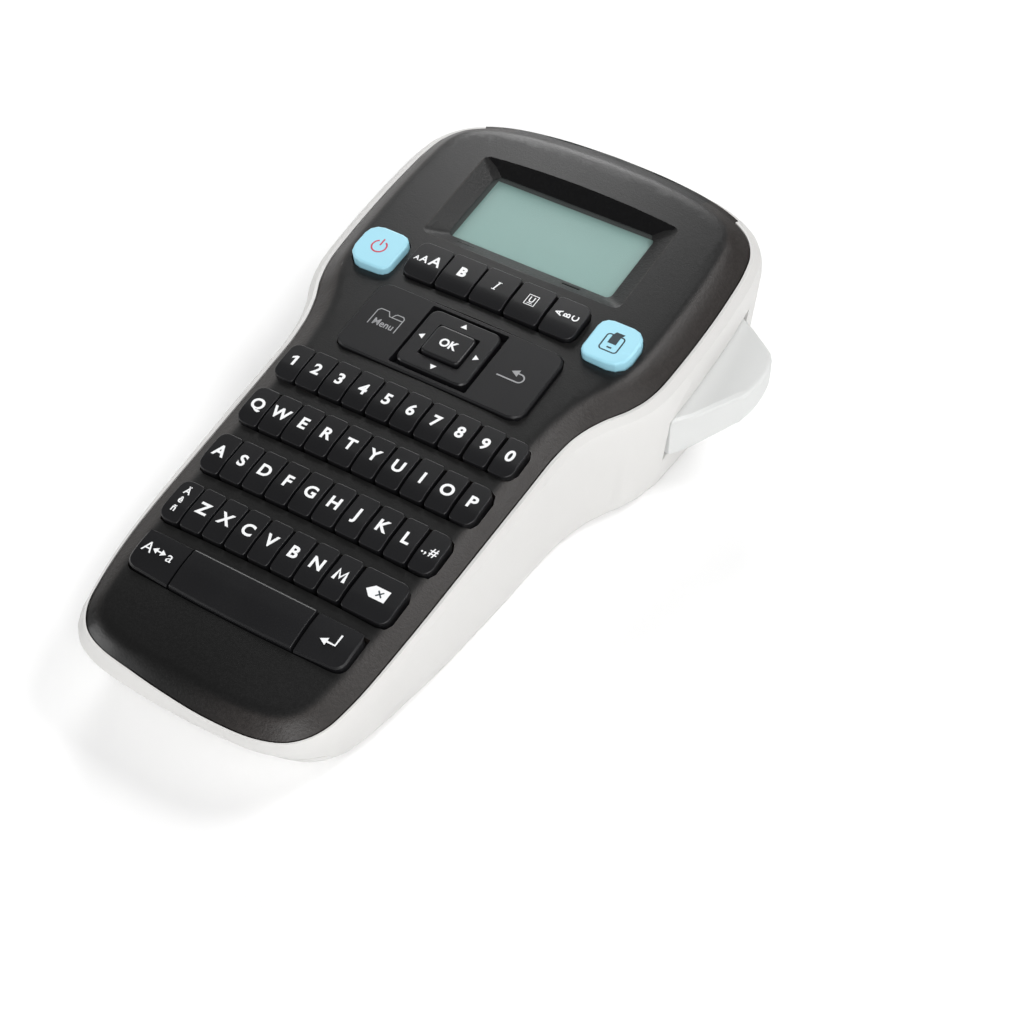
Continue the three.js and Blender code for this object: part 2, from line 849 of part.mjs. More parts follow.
/** The printed circuit board. */
function circuitBoard() {
  const sheet = outlineSheet(board.inset, boardNear, board.far, boardTop - board.thick, boardTop);
  return geometryOf(bossCuts().reduce((solid, cut) => solid.subtract(cut), sheet));
}

/** The clear window under the screen recess. */
function displayWindow() {
  const top = screenFloor - seat;
  const margin = screen.lensMargin;
  return slab(roundedShape(
    -screen.windowHalf - margin,
    screen.windowHalf + margin,
    screen.windowNear - margin,
    screen.windowFar + margin,
    margin / 2,
    1,
  ), top - screen.lensThick, top);
}

/** The display module behind its window. */
function displayModule() {
  const top = screenFloor - screen.lensThick - 2 * seat;
  const margin = screen.moduleMargin;
  return block(
    -screen.windowHalf - margin,
    screen.windowHalf + margin,
    screen.windowNear - margin / 2,
    screen.windowFar + margin,
    top - screen.moduleThick,
    top,
  );
}

/** The outline lifted into the case frame at the height of the parting line. */
function partingLine(steps) {
  return outline(steps).map((point) => {
    const lifted = new THREE.Vector3(point.x, point.y, edgeHeight(point)).applyMatrix4(caseFromFace);
    return { x: lifted.x, y: lifted.y, z: lifted.z, nx: point.nx, ny: point.ny, along: point.y };
  });
}

const noseShare = (along) => 1 - smooth(along, cover.nearEnd, shell.noseFrom);

/** How far the shell's rim stands outside the cover at a place along it. */
const rimAt = (along) => mix(shell.rim, shell.noseFlare * shell.shoulderShare, noseShare(along));

/** How far the shell flares out below its rim at a place along it. */
function flareAt(along) {
  const plain = mix(shell.handleFlare, shell.headFlare, waistShare(along));
  return mix(plain, shell.noseFlare, noseShare(along));
}

/** How the shell rounds under at a place along it. */
function under(point) {
  const nose = noseShare(point.along);
  const plain = mix(shell.handleUnder, shell.headUnder, waistShare(point.along));
  const side = mix(plain, shell.noseUnder, nose);
  return { side, rise: mix(side, shell.noseRise, nose), shift: shell.noseTuck * nose };
}

/** One ring of the rounding, from the wall at angle 0 to the flat back at a quarter turn. */
function underRing(points, offset, thin, angle) {
  return ringOf(points, (point) => {
    const { side, rise, shift } = under(point);
    const inward = (1 - Math.cos(angle)) * Math.max(side - thin, thin / 2);
    const ring = insetPoint(point, inward - offset, thin + (rise - thin) * (1 - Math.sin(angle)));
    ring.y += shift * (1 - Math.cos(angle));
    return ring;
  });
}

/** The shell's outer form, solid. */
function shellForm() {
  const points = partingLine(skinSteps);
  const rim = (offset, drop) => ringOf(
    points,
    (point) => insetPoint(point, -offset(point.along), point.z - drop),
  );
  const angles = [Math.PI / 2, Math.PI / 3, Math.PI / 6, 0];
  return solidOf(loft([
    ...angles.map((angle) => underRing(points, shell.wallOffset, 0, angle)),
    rim(flareAt, shell.flareDrop),
    rim((along) => mix(rimAt(along), flareAt(along), shell.shoulderShare), shell.shoulderDrop),
    rim(rimAt, 0),
    rim(() => -cover.wall, 0),
  ], true, true));
}

/** The space inside the shell, a wall thickness in from its outer form. */
function shellSpace(thickness) {
  const points = partingLine(skinSteps);
  const offset = shell.wallOffset - thickness;
  const upper = seam + shell.wall - thickness;
  const angles = [Math.PI / 2, Math.PI / 4, 0];
  return solidOf(loft([
    ...angles.map((angle) => underRing(points, offset, thickness, angle)),
    ringOf(points, (point) => insetPoint(point, -upper, point.z - cover.skirt - seam)),
    ringOf(points, (point) => insetPoint(point, -upper, point.z + overrun)),
  ], true, true));
}

/** The prism of the battery door, grown by a gap. */
function batteryPrism(gap) {
  const reach = cover.length;
  return solidOf(block(
    -batteryDoor.half - gap,
    batteryDoor.half + gap,
    -reach,
    batteryDoor.far + gap,
    -overrun,
    batteryDoor.topEdge + gap,
  ));
}

/** The prism of the cassette door, grown by a gap. */
function tapeDoorPrism(gap) {
  const shape = roundedShape(
    tapeDoor.left - gap,
    tapeDoor.right + gap,
    tapeDoor.near - gap,
    tapeDoor.far + gap,
    [gap, tapeDoor.corner, tapeDoor.corner, gap].map((radius) => radius + weld),
    2,
  );
  return solidOf(slab(shape, -overrun, screw.bossTop));
}

const bayTop = 2 * seat + shell.wall + 2 * cells.radius + bay.clear;

/** The walls round the batteries, and the pocket inside them. */
function batteryBay(isPocket) {
  const grow = isPocket ? 0 : bay.wall;
  return solidOf(block(
    -bay.half - grow,
    bay.half + grow,
    bay.near - (isPocket ? 0 : bay.roof),
    bay.far + (isPocket ? 0 : bay.roof),
    isPocket ? -overrun : shell.wall / 2,
    bayTop + (isPocket ? 0 : bay.roof),
  ));
}

/** The lever's place in the wall: its height at a place along the case. */
const leverTop = (y) => mix(lever.nearTop, lever.farTop, (y - lever.near) / (lever.far - lever.near));

const leverBottom = (y) => leverTop(y)
  - mix(lever.nearThick, lever.farThick, (y - lever.near) / (lever.far - lever.near));

/** Stretches a body between heights 0 and 1 to the lever's sloping lower and upper faces. */
function alongLever(geometry) {
  const sloped = geometry.clone();
  const position = sloped.attributes.position;
  for (let i = 0; i < position.count; i += 1) {
    const y = position.getY(i);
    position.setZ(i, mix(leverBottom(y), leverTop(y), position.getZ(i)));
  }
  return sloped;
}

/** The slot in the shell's side through which the lever works. */
function leverSlot() {
  const slot = (raise) => solidOf(alongLever(block(
    lever.root - shell.headFlare,
    lever.tipX + overrun,
    lever.near - 2 * play,
    lever.far + lever.flange + 2 * play,
    0,
    1,
  )).translate(0, 0, raise));
  return slot(-2 * play).add(slot(2 * play));
}

/** The rear shell with its bays, slots and bosses. */
function rearCase() {
  const form = shellForm();
  const space = shellSpace(shell.wall);
  const clearSpace = shellSpace(shell.wall + seat);
  let body = form.subtract(space);
  const inner = [
    batteryBay(false),
    ...screwBosses(screw.boss, shell.wall / 2, screw.bossTop).map(solidOf),
    solidOf(post(lever.pivotX, lever.pivotY, lever.pivotBoss, shell.wall / 2, leverRootLow() - seat, 16)),
  ];
  body = body.add(union(inner).intersect(form));
  const cuts = [
    batteryPrism(play).subtract(clearSpace),
    batteryBay(true),
    tapeDoorPrism(play).subtract(clearSpace),
    ...screwBosses(screw.head + seat, -overrun, screw.sink).map(solidOf),
    ...screwBosses(screw.shank + seat / 2, 0, screw.bossTop + overrun).map(solidOf),
    leverSlot(),
    solidOf(post(lever.pivotX, lever.pivotY, lever.pin + seat, shell.wall, leverRootLow() + overrun, 16)),
    tapeSlot(),
    solidOf(jackHole()),
    lipCut(),
    ...doorPinHoles(),
  ];
  return geometryOf(cuts.reduce((solid, cut) => solid.subtract(cut), body));
}

/** Room for the cover's far lip in the shell's rim. */
function lipCut() {
  const lip = farLip(shell.rim + overrun, shell.rim + seam, seam, overrun);
  return solidOf(lip.applyMatrix4(caseFromFace));
}

/** The slot in the display end through which the printed tape leaves. */
function tapeSlot() {
  return solidOf(block(
    tape.across - exit.halfWidth,
    tape.across + exit.halfWidth,
    tray.far - overrun,
    headEnd + overrun,
    exit.low,
    exit.low + exit.height,
  ));
}

const doorAxisX = tapeDoor.left + tapeDoor.barRadius;

/** Holes for the cassette door's two pins. */
function doorPinHoles() {
  const reach = tapeDoor.pinLength + seat;
  const spans = [[tapeDoor.near - reach, tapeDoor.near], [tapeDoor.far, tapeDoor.far + reach]];
  return spans.map(([y0, y1]) => {
    const hole = new THREE.CylinderGeometry(tapeDoor.pin + seat, tapeDoor.pin + seat, y1 - y0, 8);
    return solidOf(hole.translate(doorAxisX, (y0 + y1) / 2, tapeDoor.barRadius));
  });
}

/** The cassette door, cut from the shell's skin, with its round hinge edge and two pins. */
function cassetteDoor() {
  const skin = shellForm().subtract(shellSpace(shell.wall));
  const flat = solidOf(block(
    doorAxisX,
    tapeDoor.right + overrun,
    tapeDoor.near - overrun,
    tapeDoor.far + overrun,
    -overrun,
    screw.bossTop,
  ));
  const { barRadius } = tapeDoor;
  const bar = new THREE.CylinderGeometry(barRadius, barRadius, tapeDoor.far - tapeDoor.near, 16);
  const pins = new THREE.CylinderGeometry(
    tapeDoor.pin,
    tapeDoor.pin,
    tapeDoor.far - tapeDoor.near + 2 * tapeDoor.pinLength,
    8,
  );
  const middle = (tapeDoor.near + tapeDoor.far) / 2;
  return geometryOf(skin.intersect(tapeDoorPrism(0)).intersect(flat)
    .add(solidOf(bar.translate(doorAxisX, middle, tapeDoor.barRadius)))
    .add(solidOf(pins.translate(doorAxisX, middle, tapeDoor.barRadius))));
}

/** The battery door, cut from the shell's skin, with a ribbed thumb grip. */
function batteryCover() {
  const skin = shellForm().subtract(shellSpace(shell.wall));
  const grooves = Array.from({ length: batteryDoor.grips }, (_, i) => {
    const y = batteryDoor.far - batteryDoor.gripFrom - i * batteryDoor.gripPitch;
    return solidOf(block(
      -batteryDoor.gripHalf,
      batteryDoor.gripHalf,
      y,
      y + batteryDoor.gripWidth,
      -overrun,
      batteryDoor.gripWidth / 2,
    ));
  });
  const door = skin.intersect(batteryPrism(0));
  return geometryOf(grooves.reduce((solid, cut) => solid.subtract(cut), door));
}

/** The tray's plan, with its two right corners cut off to follow the case. */
function trayPlan(inset) {
  const shape = new THREE.Shape();
  shape.moveTo(tray.left + inset, tray.near + inset);
  shape.lineTo(tray.right - tray.cornerCut - inset / 2, tray.near + inset);
  shape.lineTo(tray.right - inset, tray.near + tray.cornerCut + inset / 2);
  shape.lineTo(tray.right - inset, tray.far - tray.cornerCut - inset / 2);
  shape.lineTo(tray.right - tray.cornerCut - inset / 2, tray.far - inset);
  shape.lineTo(tray.left + inset, tray.far - inset);
  return shape;
}

/** A hole through the deck for a turning part. */
const deckHole = (place, radius) => solidOf(
  post(place.x, place.y, radius + seat, tray.deck - overrun, deckTop + overrun, 12),
);

/** The cassette bay's tray: walls round the cassette and a deck that carries the gears. */
function mechanismFrame() {
  let body = solidOf(slab(trayPlan(0), tray.bottom, deckTop));
  const shelf = block(
    tray.shelfLeft,
    tray.shelfRight,
    tray.shelfNear,
    tray.near + tray.wall,
    tray.deck,
    deckTop,
  );
  const springTab = block(
    tray.right - tray.wall,
    tray.right,
    spring.along - spring.tabHalf,
    spring.along + spring.tabHalf,
    tray.deck,
    spring.tabTop,
  );
  body = body.add(solidOf(shelf)).add(solidOf(springTab));
  body = body.subtract(solidOf(slab(trayPlan(tray.wall), tray.bottom - overrun, tray.deck)));
  const axles = [train.idler, train.second, train.first].map((place) => solidOf(
    post(place.x, place.y, gear.axle, tray.deck + tray.deckThick / 2, gearTop, 12),
  ));
  const headPivot = post(
    headAxisX,
    headAxisY,
    head.pivotRadius - seat,
    cassette.bottom + cassette.height / 8,
    tray.deck + tray.deckThick / 2,
    12,
  );
  body = body.add(union([...axles, solidOf(headPivot)]));
  const cuts = [
    deckHole(platen, platen.shaft),
    deckHole(train.ribbon, gear.axle),
    deckHole(train.motor, motor.boss),
    tapeSlot(),
    armWindow(),
  ];
  return geometryOf(cuts.reduce((solid, cut) => solid.subtract(cut), body));
}

/** Height of a gear's lower face: 0 is the lowest layer on the deck. */
const deckTop = tray.deck + tray.deckThick;
const gearLevel = (layer) => deckTop + gear.levelGap + layer * (gear.thick + gear.levelGap);
const gearTop = gearLevel(2) + gear.thick;

const pitchRadius = (count) => gear.radiusPerTooth * count;

/** The centre of a wheel that meshes with one at a known place. */
function meshed(place, count, otherCount, heading) {
  const distance = pitchRadius(count) + pitchRadius(otherCount);
  const x = place.x + distance * Math.cos(heading);
  const y = place.y + distance * Math.sin(heading);
  return { x, y, heading };
}

/** The axes of the gear train, from the platen roller back to the motor. */
function layTrain() {
  const idler = meshed(platen, teeth.platenCount, teeth.idlerCount, trainHeadings.idler);
  const second = meshed(idler, teeth.idlerCount, teeth.secondSmallCount, trainHeadings.second);
  const first = meshed(second, teeth.secondLargeCount, teeth.firstSmallCount, trainHeadings.first);
  const drive = meshed(first, teeth.firstLargeCount, teeth.motorCount, trainHeadings.motor);
  const ribbon = meshed(idler, teeth.idlerCount, teeth.ribbonCount, trainHeadings.ribbon);
  return { idler, second, first, motor: drive, ribbon };
}

const train = layTrain();

/** A toothed outline with its first tooth centred on a direction. */
function toothedShape(count, toothAt) {
  const outer = pitchRadius(count) + gear.addendum;
  const root = pitchRadius(count) - gear.dedendum;
  const pitch = (2 * Math.PI) / count;
  const shares = [
    [-gear.toothShare, root],
    [-gear.tipShare, outer],
    [gear.tipShare, outer],
    [gear.toothShare, root],
  ];
  const points = Array.from({ length: count }, (_, i) => shares.map(([share, radius]) => {
    const angle = toothAt + (i + share) * pitch;
    return new THREE.Vector2(radius * Math.cos(angle), radius * Math.sin(angle));
  })).flat();
  return new THREE.Shape(points);
}

/** A toothed wheel on a layer of the train. */
function wheel(place, count, toothAt, layer) {
  return slab(toothedShape(count, toothAt), gearLevel(layer), gearLevel(layer) + gear.thick)
    .translate(place.x, place.y, 0);
}

/** A direction at which a wheel has a gap, so that it takes the other wheel's tooth there. */
const gapAt = (count, heading) => heading + Math.PI / count;

/** A plain bore through a wheel. */
const bored = (solid, place) => solid.subtract(
  solidOf(post(place.x, place.y, gear.bore, tray.deck - overrun, gearLevel(2) + overrun, 12)),
);

/** Two wheels in one piece on neighbouring layers. */
function doubleWheel(place, upper, lower) {
  const hub = post(
    place.x,
    place.y,
    pitchRadius(upper.count) - 2 * gear.dedendum,
    gearLevel(lower.layer) + gear.thick / 2,
    gearLevel(upper.layer) + gear.thick / 2,
    12,
  );
  const solid = solidOf(wheel(place, upper.count, upper.toothAt, upper.layer))
    .add(solidOf(wheel(place, lower.count, lower.toothAt, lower.layer)))
    .add(solidOf(hub));
  return geometryOf(bored(solid, place));
}

// Each mesh has a tooth of the driven side on the line of centres and a gap of the other side
const idlerToothAt = gapAt(teeth.idlerCount, train.idler.heading + Math.PI);

/** The direction from one centre to the other at which an existing wheel's nearest tooth or gap lies. */
function phaseTowards(count, toothAt, heading) {
  const pitch = (2 * Math.PI) / count;
  return ((heading - toothAt) / pitch) % 1;
}

/** The tooth direction that lets a wheel mesh with another whose tooth direction is known. */
function meshingTooth(count, heading, otherCount, otherToothAt) {
  const ahead = phaseTowards(otherCount, otherToothAt, heading);
  return heading + Math.PI + ((0.5 + ahead) * 2 * Math.PI) / count;
}

const { second: secondAxis, first: firstAxis, motor: motorAxis, ribbon: ribbonAxis } = train;

/** The idler between the platen's gear and the rest of the train. */
function idlerGear() {
  return geometryOf(bored(solidOf(wheel(train.idler, teeth.idlerCount, idlerToothAt, 2)), train.idler));
}

const secondSmallTooth =
  meshingTooth(teeth.secondSmallCount, secondAxis.heading, teeth.idlerCount, idlerToothAt);
const ribbonTooth = meshingTooth(teeth.ribbonCount, ribbonAxis.heading, teeth.idlerCount, idlerToothAt);
const firstSmallTooth = meshingTooth(teeth.firstSmallCount, firstAxis.heading, teeth.secondLargeCount, 0);
const motorTooth = meshingTooth(teeth.motorCount, motorAxis.heading, teeth.firstLargeCount, 0);

/** The rubber platen roller on its steel shaft, with its gear above the deck. */
function platenRoller() {
  const low = cassette.bottom + seat + seat / 2;
  const rubberLow = tapeMiddle - platen.rubber / 2;
  const rubber = post(platen.x, platen.y, platen.radius, rubberLow, rubberLow + platen.rubber, 20);
  const shaft = post(platen.x, platen.y, platen.shaft, low, gearTop, 12);
  const driven = wheel(platen, teeth.platenCount, train.idler.heading, 2);
  return geometryOf(solidOf(rubber).add(solidOf(shaft)).add(solidOf(driven)));
}

const tapeMiddle = cassette.bottom + cassette.height / 2;

/** The ribbon spindle: a splined shaft below the deck under its gear. */
function ribbonSpindle() {
  const { x, y } = train.ribbon;
  const shaft = post(x, y, gear.axle, tray.deck - overrun, gearTop, 12);
  const splineLow = cassette.bottom + cassette.height / 3;
  const spline = slab(toothedShape(gear.splines, 0), splineLow, tray.deck - seat).translate(x, y, 0);
  const driven = wheel(train.ribbon, teeth.ribbonCount, ribbonTooth, 2);
  return geometryOf(solidOf(shaft).add(solidOf(spline)).add(solidOf(driven)));
}

/** The motor can, with flats on two sides and a round boss under the deck. */
function driveMotor() {
  const top = tray.deck - seat;
  const can = solidOf(post(0, 0, motor.radius, top - motor.length, top, 24));
  const flats = solidOf(block(
    -motor.radius,
    motor.radius,
    -motor.flat,
    motor.flat,
    top - motor.length - overrun,
    top + overrun,
  ));
  const boss = solidOf(post(0, 0, motor.boss, top - motor.bossHeight, top + motor.bossHeight, 12));
  return moved(geometryOf(can.intersect(flats).add(boss)), train.motor.x, train.motor.y, 0);
}

/** The motor's toothed pinion on its shaft. */
function motorPinion() {
  const low = tray.deck - seat + motor.bossHeight + seat;
  const pinion = solidOf(wheel(train.motor, teeth.motorCount, motorTooth, 0));
  const high = gearLevel(0) + gear.thick + motor.shaft;
  const shaft = solidOf(post(train.motor.x, train.motor.y, motor.shaft, low, high, 10));
  return geometryOf(pinion.add(shaft));
}

/** The lever's plan outside and just inside the case wall. */
function leverPlan() {
  const shape = new THREE.Shape();
  shape.moveTo(lever.root, lever.near);
  shape.lineTo(lever.wallX, lever.near);
  shape.lineTo(lever.wallX + lever.nearStep, lever.near + lever.nearStep);
  shape.lineTo(lever.tipX - lever.tipRadius / 2, lever.tipNear);
  shape.quadraticCurveTo(lever.tipX, lever.tipNear + lever.tipRadius, lever.tipX, lever.tipMiddle);
  shape.quadraticCurveTo(
    lever.tipX,
    lever.tipFar,
    lever.tipX - lever.tipRadius,
    lever.tipFar + lever.tipRadius / 2,
  );
  shape.lineTo(lever.wallX + lever.farStep, lever.far - lever.farStep / 2);
  shape.lineTo(lever.wallX, lever.far);
  shape.lineTo(lever.root, lever.far);
  return shape;
}

const armLow = tapeMiddle - lever.armThick / 2;
const leverRootLow = () => armLow - lever.flange;

/** The paddle between heights 0 and 1, its upper and lower edges rounded. */
function leverPaddle(share) {
  const rings = [[0, 1], [share / 3, 0.3], [share, 0], [1 - share, 0], [1 - share / 3, 0.3], [1, 1]];
  const plan = leverPlan().getPoints(4);
  const centre = new THREE.Vector2((lever.root + lever.tipX) / 2, (lever.near + lever.far) / 2);
  return loft(rings.map(([height, inset]) => plan.map((point) => {
    const inward = centre.clone().sub(point).normalize().multiplyScalar(inset * lever.edge);
    return new THREE.Vector3(point.x + inward.x, point.y + inward.y, height);
  })), true, true);
}

/** The height to which the lever's pivot boss reaches. */
const leverMiddle = () => (leverTop(lever.near) + leverBottom(lever.near)) / 2;

/** The cutter lever: the squeezed paddle, its pivot boss and the arm that pushes the blade. */
function cutterLever() {
  const share = lever.edge / lever.nearThick;
  const paddle = solidOf(alongLever(leverPaddle(share)));
  const middle = leverMiddle();
  const boss = solidOf(post(lever.pivotX, lever.pivotY, lever.pivotBoss, leverRootLow(), middle, 20));
  const web = solidOf(webBetween(
    [lever.pivotX, lever.pivotY],
    [lever.root + lever.edge, lever.near + lever.pivotBoss],
    lever.pivotBoss,
    leverBottom(lever.near) + lever.edge,
    middle,
  ));
  const reach = [
    [lever.pivotX, lever.pivotY],
    [lever.pivotX, lever.elbowY],
    [lever.armEndX, lever.armEndY],
  ];
  const armTop = armLow + lever.armThick;
  const arm = solidOf(webBetween(reach[0], reach[1], lever.armWidth, armLow, armTop));
  const finger = solidOf(webBetween(reach[1], reach[2], lever.armWidth, armLow, armTop));
  const bore = solidOf(post(lever.pivotX, lever.pivotY, lever.pin + play, 0, faceHeight, 16));
  return geometryOf(paddle.add(boss).add(web).add(arm).add(finger).subtract(bore));
}

/** A flat bar of a width between two places. */
function webBetween([x0, y0], [x1, y1], width, z0, z1) {
  const length = Math.hypot(x1 - x0, y1 - y0);
  const bar = block(0, length, -width / 2, width / 2, z0, z1);
  return bar.rotateZ(Math.atan2(y1 - y0, x1 - x0)).translate(x0, y0, 0);
}

/** The window in the tray wall for the lever's arm. */
function armWindow() {
  const far = blade.y + blade.carrierHalf + 2 * play;
  return solidOf(block(
    lever.armEndX - 3 * lever.armWidth,
    tray.right + overrun,
    lever.near,
    far,
    armLow - 2 * play,
    armLow + lever.armThick + 2 * play,
  ));
}

/** The pin on which the lever turns. */
function leverPin() {
  const low = shell.wall + seat;
  const high = leverMiddle() + seat;
  const body = solidOf(post(lever.pivotX, lever.pivotY, lever.pin, low, high, 12));
  const cap = solidOf(post(lever.pivotX, lever.pivotY, lever.pinHead, high, high + lever.flange, 12));
  return geometryOf(body.add(cap));
}

/** The coil spring that pushes the lever out again. */
function leverSpring() {
  const from = tray.right + seat;
  const to = lever.root - seat;
  const z = (leverTop(spring.along) + leverBottom(spring.along)) / 2;
  return coil(from + spring.wire, to - spring.wire, spring.along, z);
}

/** A round coil along +X. */
function coil(x0, x1, y, z) {
  const steps = spring.turns * spring.stepsPerTurn;
  const points = Array.from({ length: steps + 1 }, (_, i) => {
    const angle = (2 * Math.PI * i) / spring.stepsPerTurn;
    return new THREE.Vector3(
      mix(x0, x1, i / steps),
      y + spring.radius * Math.cos(angle),
      z + spring.radius * Math.sin(angle),
    );
  });
  const section = new THREE.Shape(arcsOfCircle(spring.wire, 5));
  const path = new THREE.CatmullRomCurve3(points);
  return new THREE.ExtrudeGeometry(section, { steps, extrudePath: path, bevelEnabled: false });
}

/** Points of a full circle. */
function arcsOfCircle(radius, count) {
  return Array.from({ length: count }, (_, i) => {
    const angle = (2 * Math.PI * i) / count;
    return new THREE.Vector2(radius * Math.cos(angle), radius * Math.sin(angle));
  });
}

const bladeLow = tapeMiddle - blade.width / 2;

/** The blade, sharpened on its left edge. */
function cutterBlade() {
  const shape = new THREE.Shape();
  shape.moveTo(blade.rest, blade.y + blade.thick / 2);
  shape.lineTo(blade.rest + blade.bevel, blade.y - blade.thick / 2);
  shape.lineTo(blade.rest + blade.depth, blade.y - blade.thick / 2);
  shape.lineTo(blade.rest + blade.depth, blade.y + blade.thick / 2);
  return slab(shape, bladeLow, bladeLow + blade.width);
}

/** The slide that carries the blade. */
function bladeCarrier() {
  const left = blade.rest + blade.depth - blade.carrierDepth;
  const right = tray.right - tray.wall - seat;
  const [near, far] = [blade.y - blade.carrierHalf, blade.y + blade.carrierHalf];
  const tailRight = lever.armEndX - lever.armWidth / 2 - seat - play;
  const tail = block(left, tailRight, near, far, armLow, armLow + lever.armThick);
  const holder = block(left, right, near, far, bladeLow, bladeLow + blade.width);
  const slot = solidOf(block(
    left - overrun,
    blade.rest + blade.depth + seat,
    blade.y - blade.thick / 2 - seat / 2,
    blade.y + blade.thick / 2 + seat / 2,
    bladeLow - overrun,
    bladeLow + blade.width + overrun,
  ));
  return geometryOf(solidOf(holder).add(solidOf(tail)).subtract(slot));
}

/** The anvil on the other side of the tape, with a slot that takes the blade's edge. */
function cutterAnvil() {
  const right = tape.across - tape.thick / 2 - seat;
  const body = solidOf(block(
    right - anvil.depth,
    right,
    blade.y - anvil.halfWidth,
    blade.y + anvil.halfWidth,
    bladeLow,
    tray.deck - seat,
  ));
  const slot = solidOf(block(
    right - anvil.slotDepth,
    right + overrun,
    blade.y - anvil.slot / 2,
    blade.y + anvil.slot / 2,
    bladeLow - overrun,
    bladeLow + blade.width + seat,
  ));
  return geometryOf(body.subtract(slot));
}

const headLow = tapeMiddle - head.height / 2;
const headAxisX = head.pivotX - head.armWidth / 2;
const headAxisY = head.near + head.pivotInset;

/** The carrier of the thermal print head, turning on its pivot. */
function headCarrier() {
  const high = headLow + head.height;
  const back = head.face - head.plateWidth - head.sinkDepth - seat;
  const eyeRadius = head.armWidth / 2 + head.pivotRadius / 2;
  const arm = solidOf(block(back - head.armWidth, back, head.near, head.far, headLow, high));
  const eye = solidOf(post(headAxisX, headAxisY, eyeRadius, headLow, high, 14));
  const bore = solidOf(post(headAxisX, headAxisY, head.pivotRadius, 0, faceHeight, 12));
  return geometryOf(arm.add(eye).subtract(bore));
}

/** The print head: a heat sink with the thermal strip in front. */
function printHead() {
  const sinkBack = head.face - head.plateWidth - head.sinkDepth;
  const upright = (x0, x1, half) => solidOf(block(
    x0,
    x1,
    platen.y - half,
    platen.y + half,
    headLow,
    headLow + head.height,
  ));
  const strip = upright(head.face - head.plateWidth, head.face, head.height / 3);
  const sink = upright(sinkBack, head.face - head.plateWidth / 2, head.height / 4);
  return geometryOf(strip.add(sink));
}

const cassetteWindow = {
  near: head.near - cassette.headClearNear,
  far: head.far + cassette.headClearFar,
};

/** The tape cassette's case with its print window, spool holes and hollow inside. */
function cassetteCase() {
  const right = cassette.left + cassette.width;
  const far = cassette.near + cassette.length;
  const top = cassette.bottom + cassette.height;
  const outer = roundedShape(cassette.left, right, cassette.near, far, cassette.corner, 2);
  let body = solidOf(slab(outer, cassette.bottom, top, cassette.wall / 2));
  const inner = roundedShape(
    cassette.left + cassette.wall,
    right - cassette.windowDepth - cassette.wall,
    cassette.near + cassette.wall,
    far - cassette.wall,
    cassette.corner - cassette.wall,
    2,
  );
  body = body.subtract(solidOf(slab(inner, cassette.bottom + cassette.wall, top - cassette.wall)));
  const window = block(
    right - cassette.windowDepth,
    right + overrun,
    cassetteWindow.near,
    cassetteWindow.far,
    cassette.bottom - overrun,
    top + overrun,
  );
  body = body.subtract(solidOf(window));
  const holes = [[train.ribbon.x, train.ribbon.y], [tape.rollX, tape.rollY]].map(([x, y]) => solidOf(
    post(x, y, spool.bore + seam, cassette.bottom - overrun, top + overrun, 10),
  ));
  return geometryOf(holes.reduce((solid, cut) => solid.subtract(cut), body));
}

const spool = { bore: 3.4, hub: 4.6, ribbonRadius: 4.97 };

/** A wound spool: a hub with a bore under a roll of a radius. */
function woundSpool({ x, y }, rollRadius) {
  const low = cassette.bottom + cassette.wall + seat;
  const high = cassette.bottom + cassette.height - cassette.wall - seat;
  const rollLow = tapeMiddle - tape.width / 2;
  const roll = solidOf(post(x, y, rollRadius, rollLow, rollLow + tape.width, 18));
  const hub = solidOf(post(x, y, spool.hub, low, high, 12));
  const bore = solidOf(post(x, y, spool.bore, low - overrun, high + overrun, 10));
  return geometryOf(roll.add(hub).subtract(bore));
}

/** The strip of tape in the cassette's window, past the head and the platen up to the cutter. */
function labelStrip() {
  const low = tapeMiddle - tape.width / 2;
  const near = cassetteWindow.near + seat;
  const far = blade.y - blade.carrierHalf;
  const half = tape.thick / 2;
  return block(tape.across - half, tape.across + half, near, far, low, low + tape.width);
}

const cellZ = shell.wall + 2 * seat + cells.radius;

/** The x of each cell, and which way it points. */
function cellPlaces() {
  return Array.from({ length: cells.count }, (_, i) => ({
    x: (i - (cells.count - 1) / 2) * cells.pitch,
    towardsFar: i % 2 === 0,
  }));
}

/** One battery cell standing on its flat end. */
function cell() {
  return turned([
    [0, 0],
    [cells.radius - cells.cap, 0],
    [cells.radius, cells.cap],
    [cells.radius, cells.length - cells.nubHeight - cells.cap],
    [cells.radius - cells.cap, cells.length - cells.nubHeight],
    [cells.nub, cells.length - cells.nubHeight],
    [cells.nub, cells.length],
    [0, cells.length],
  ], 8);
}

/** The six cells side by side, laid alternately. */
function batteryPieces() {
  const middle = (bay.near + bay.far) / 2;
  return cellPlaces().map(({ x, towardsFar }, i) => {
    const centred = cell().translate(0, 0, -cells.length / 2);
    const mesh = piece(`battery_${i + 1}`, centred, colour.cell, 0.4, 0.3);
    mesh.rotation.x = towardsFar ? -Math.PI / 2 : Math.PI / 2;
    mesh.position.set(x, middle, cellZ);
    return mesh;
  });
}

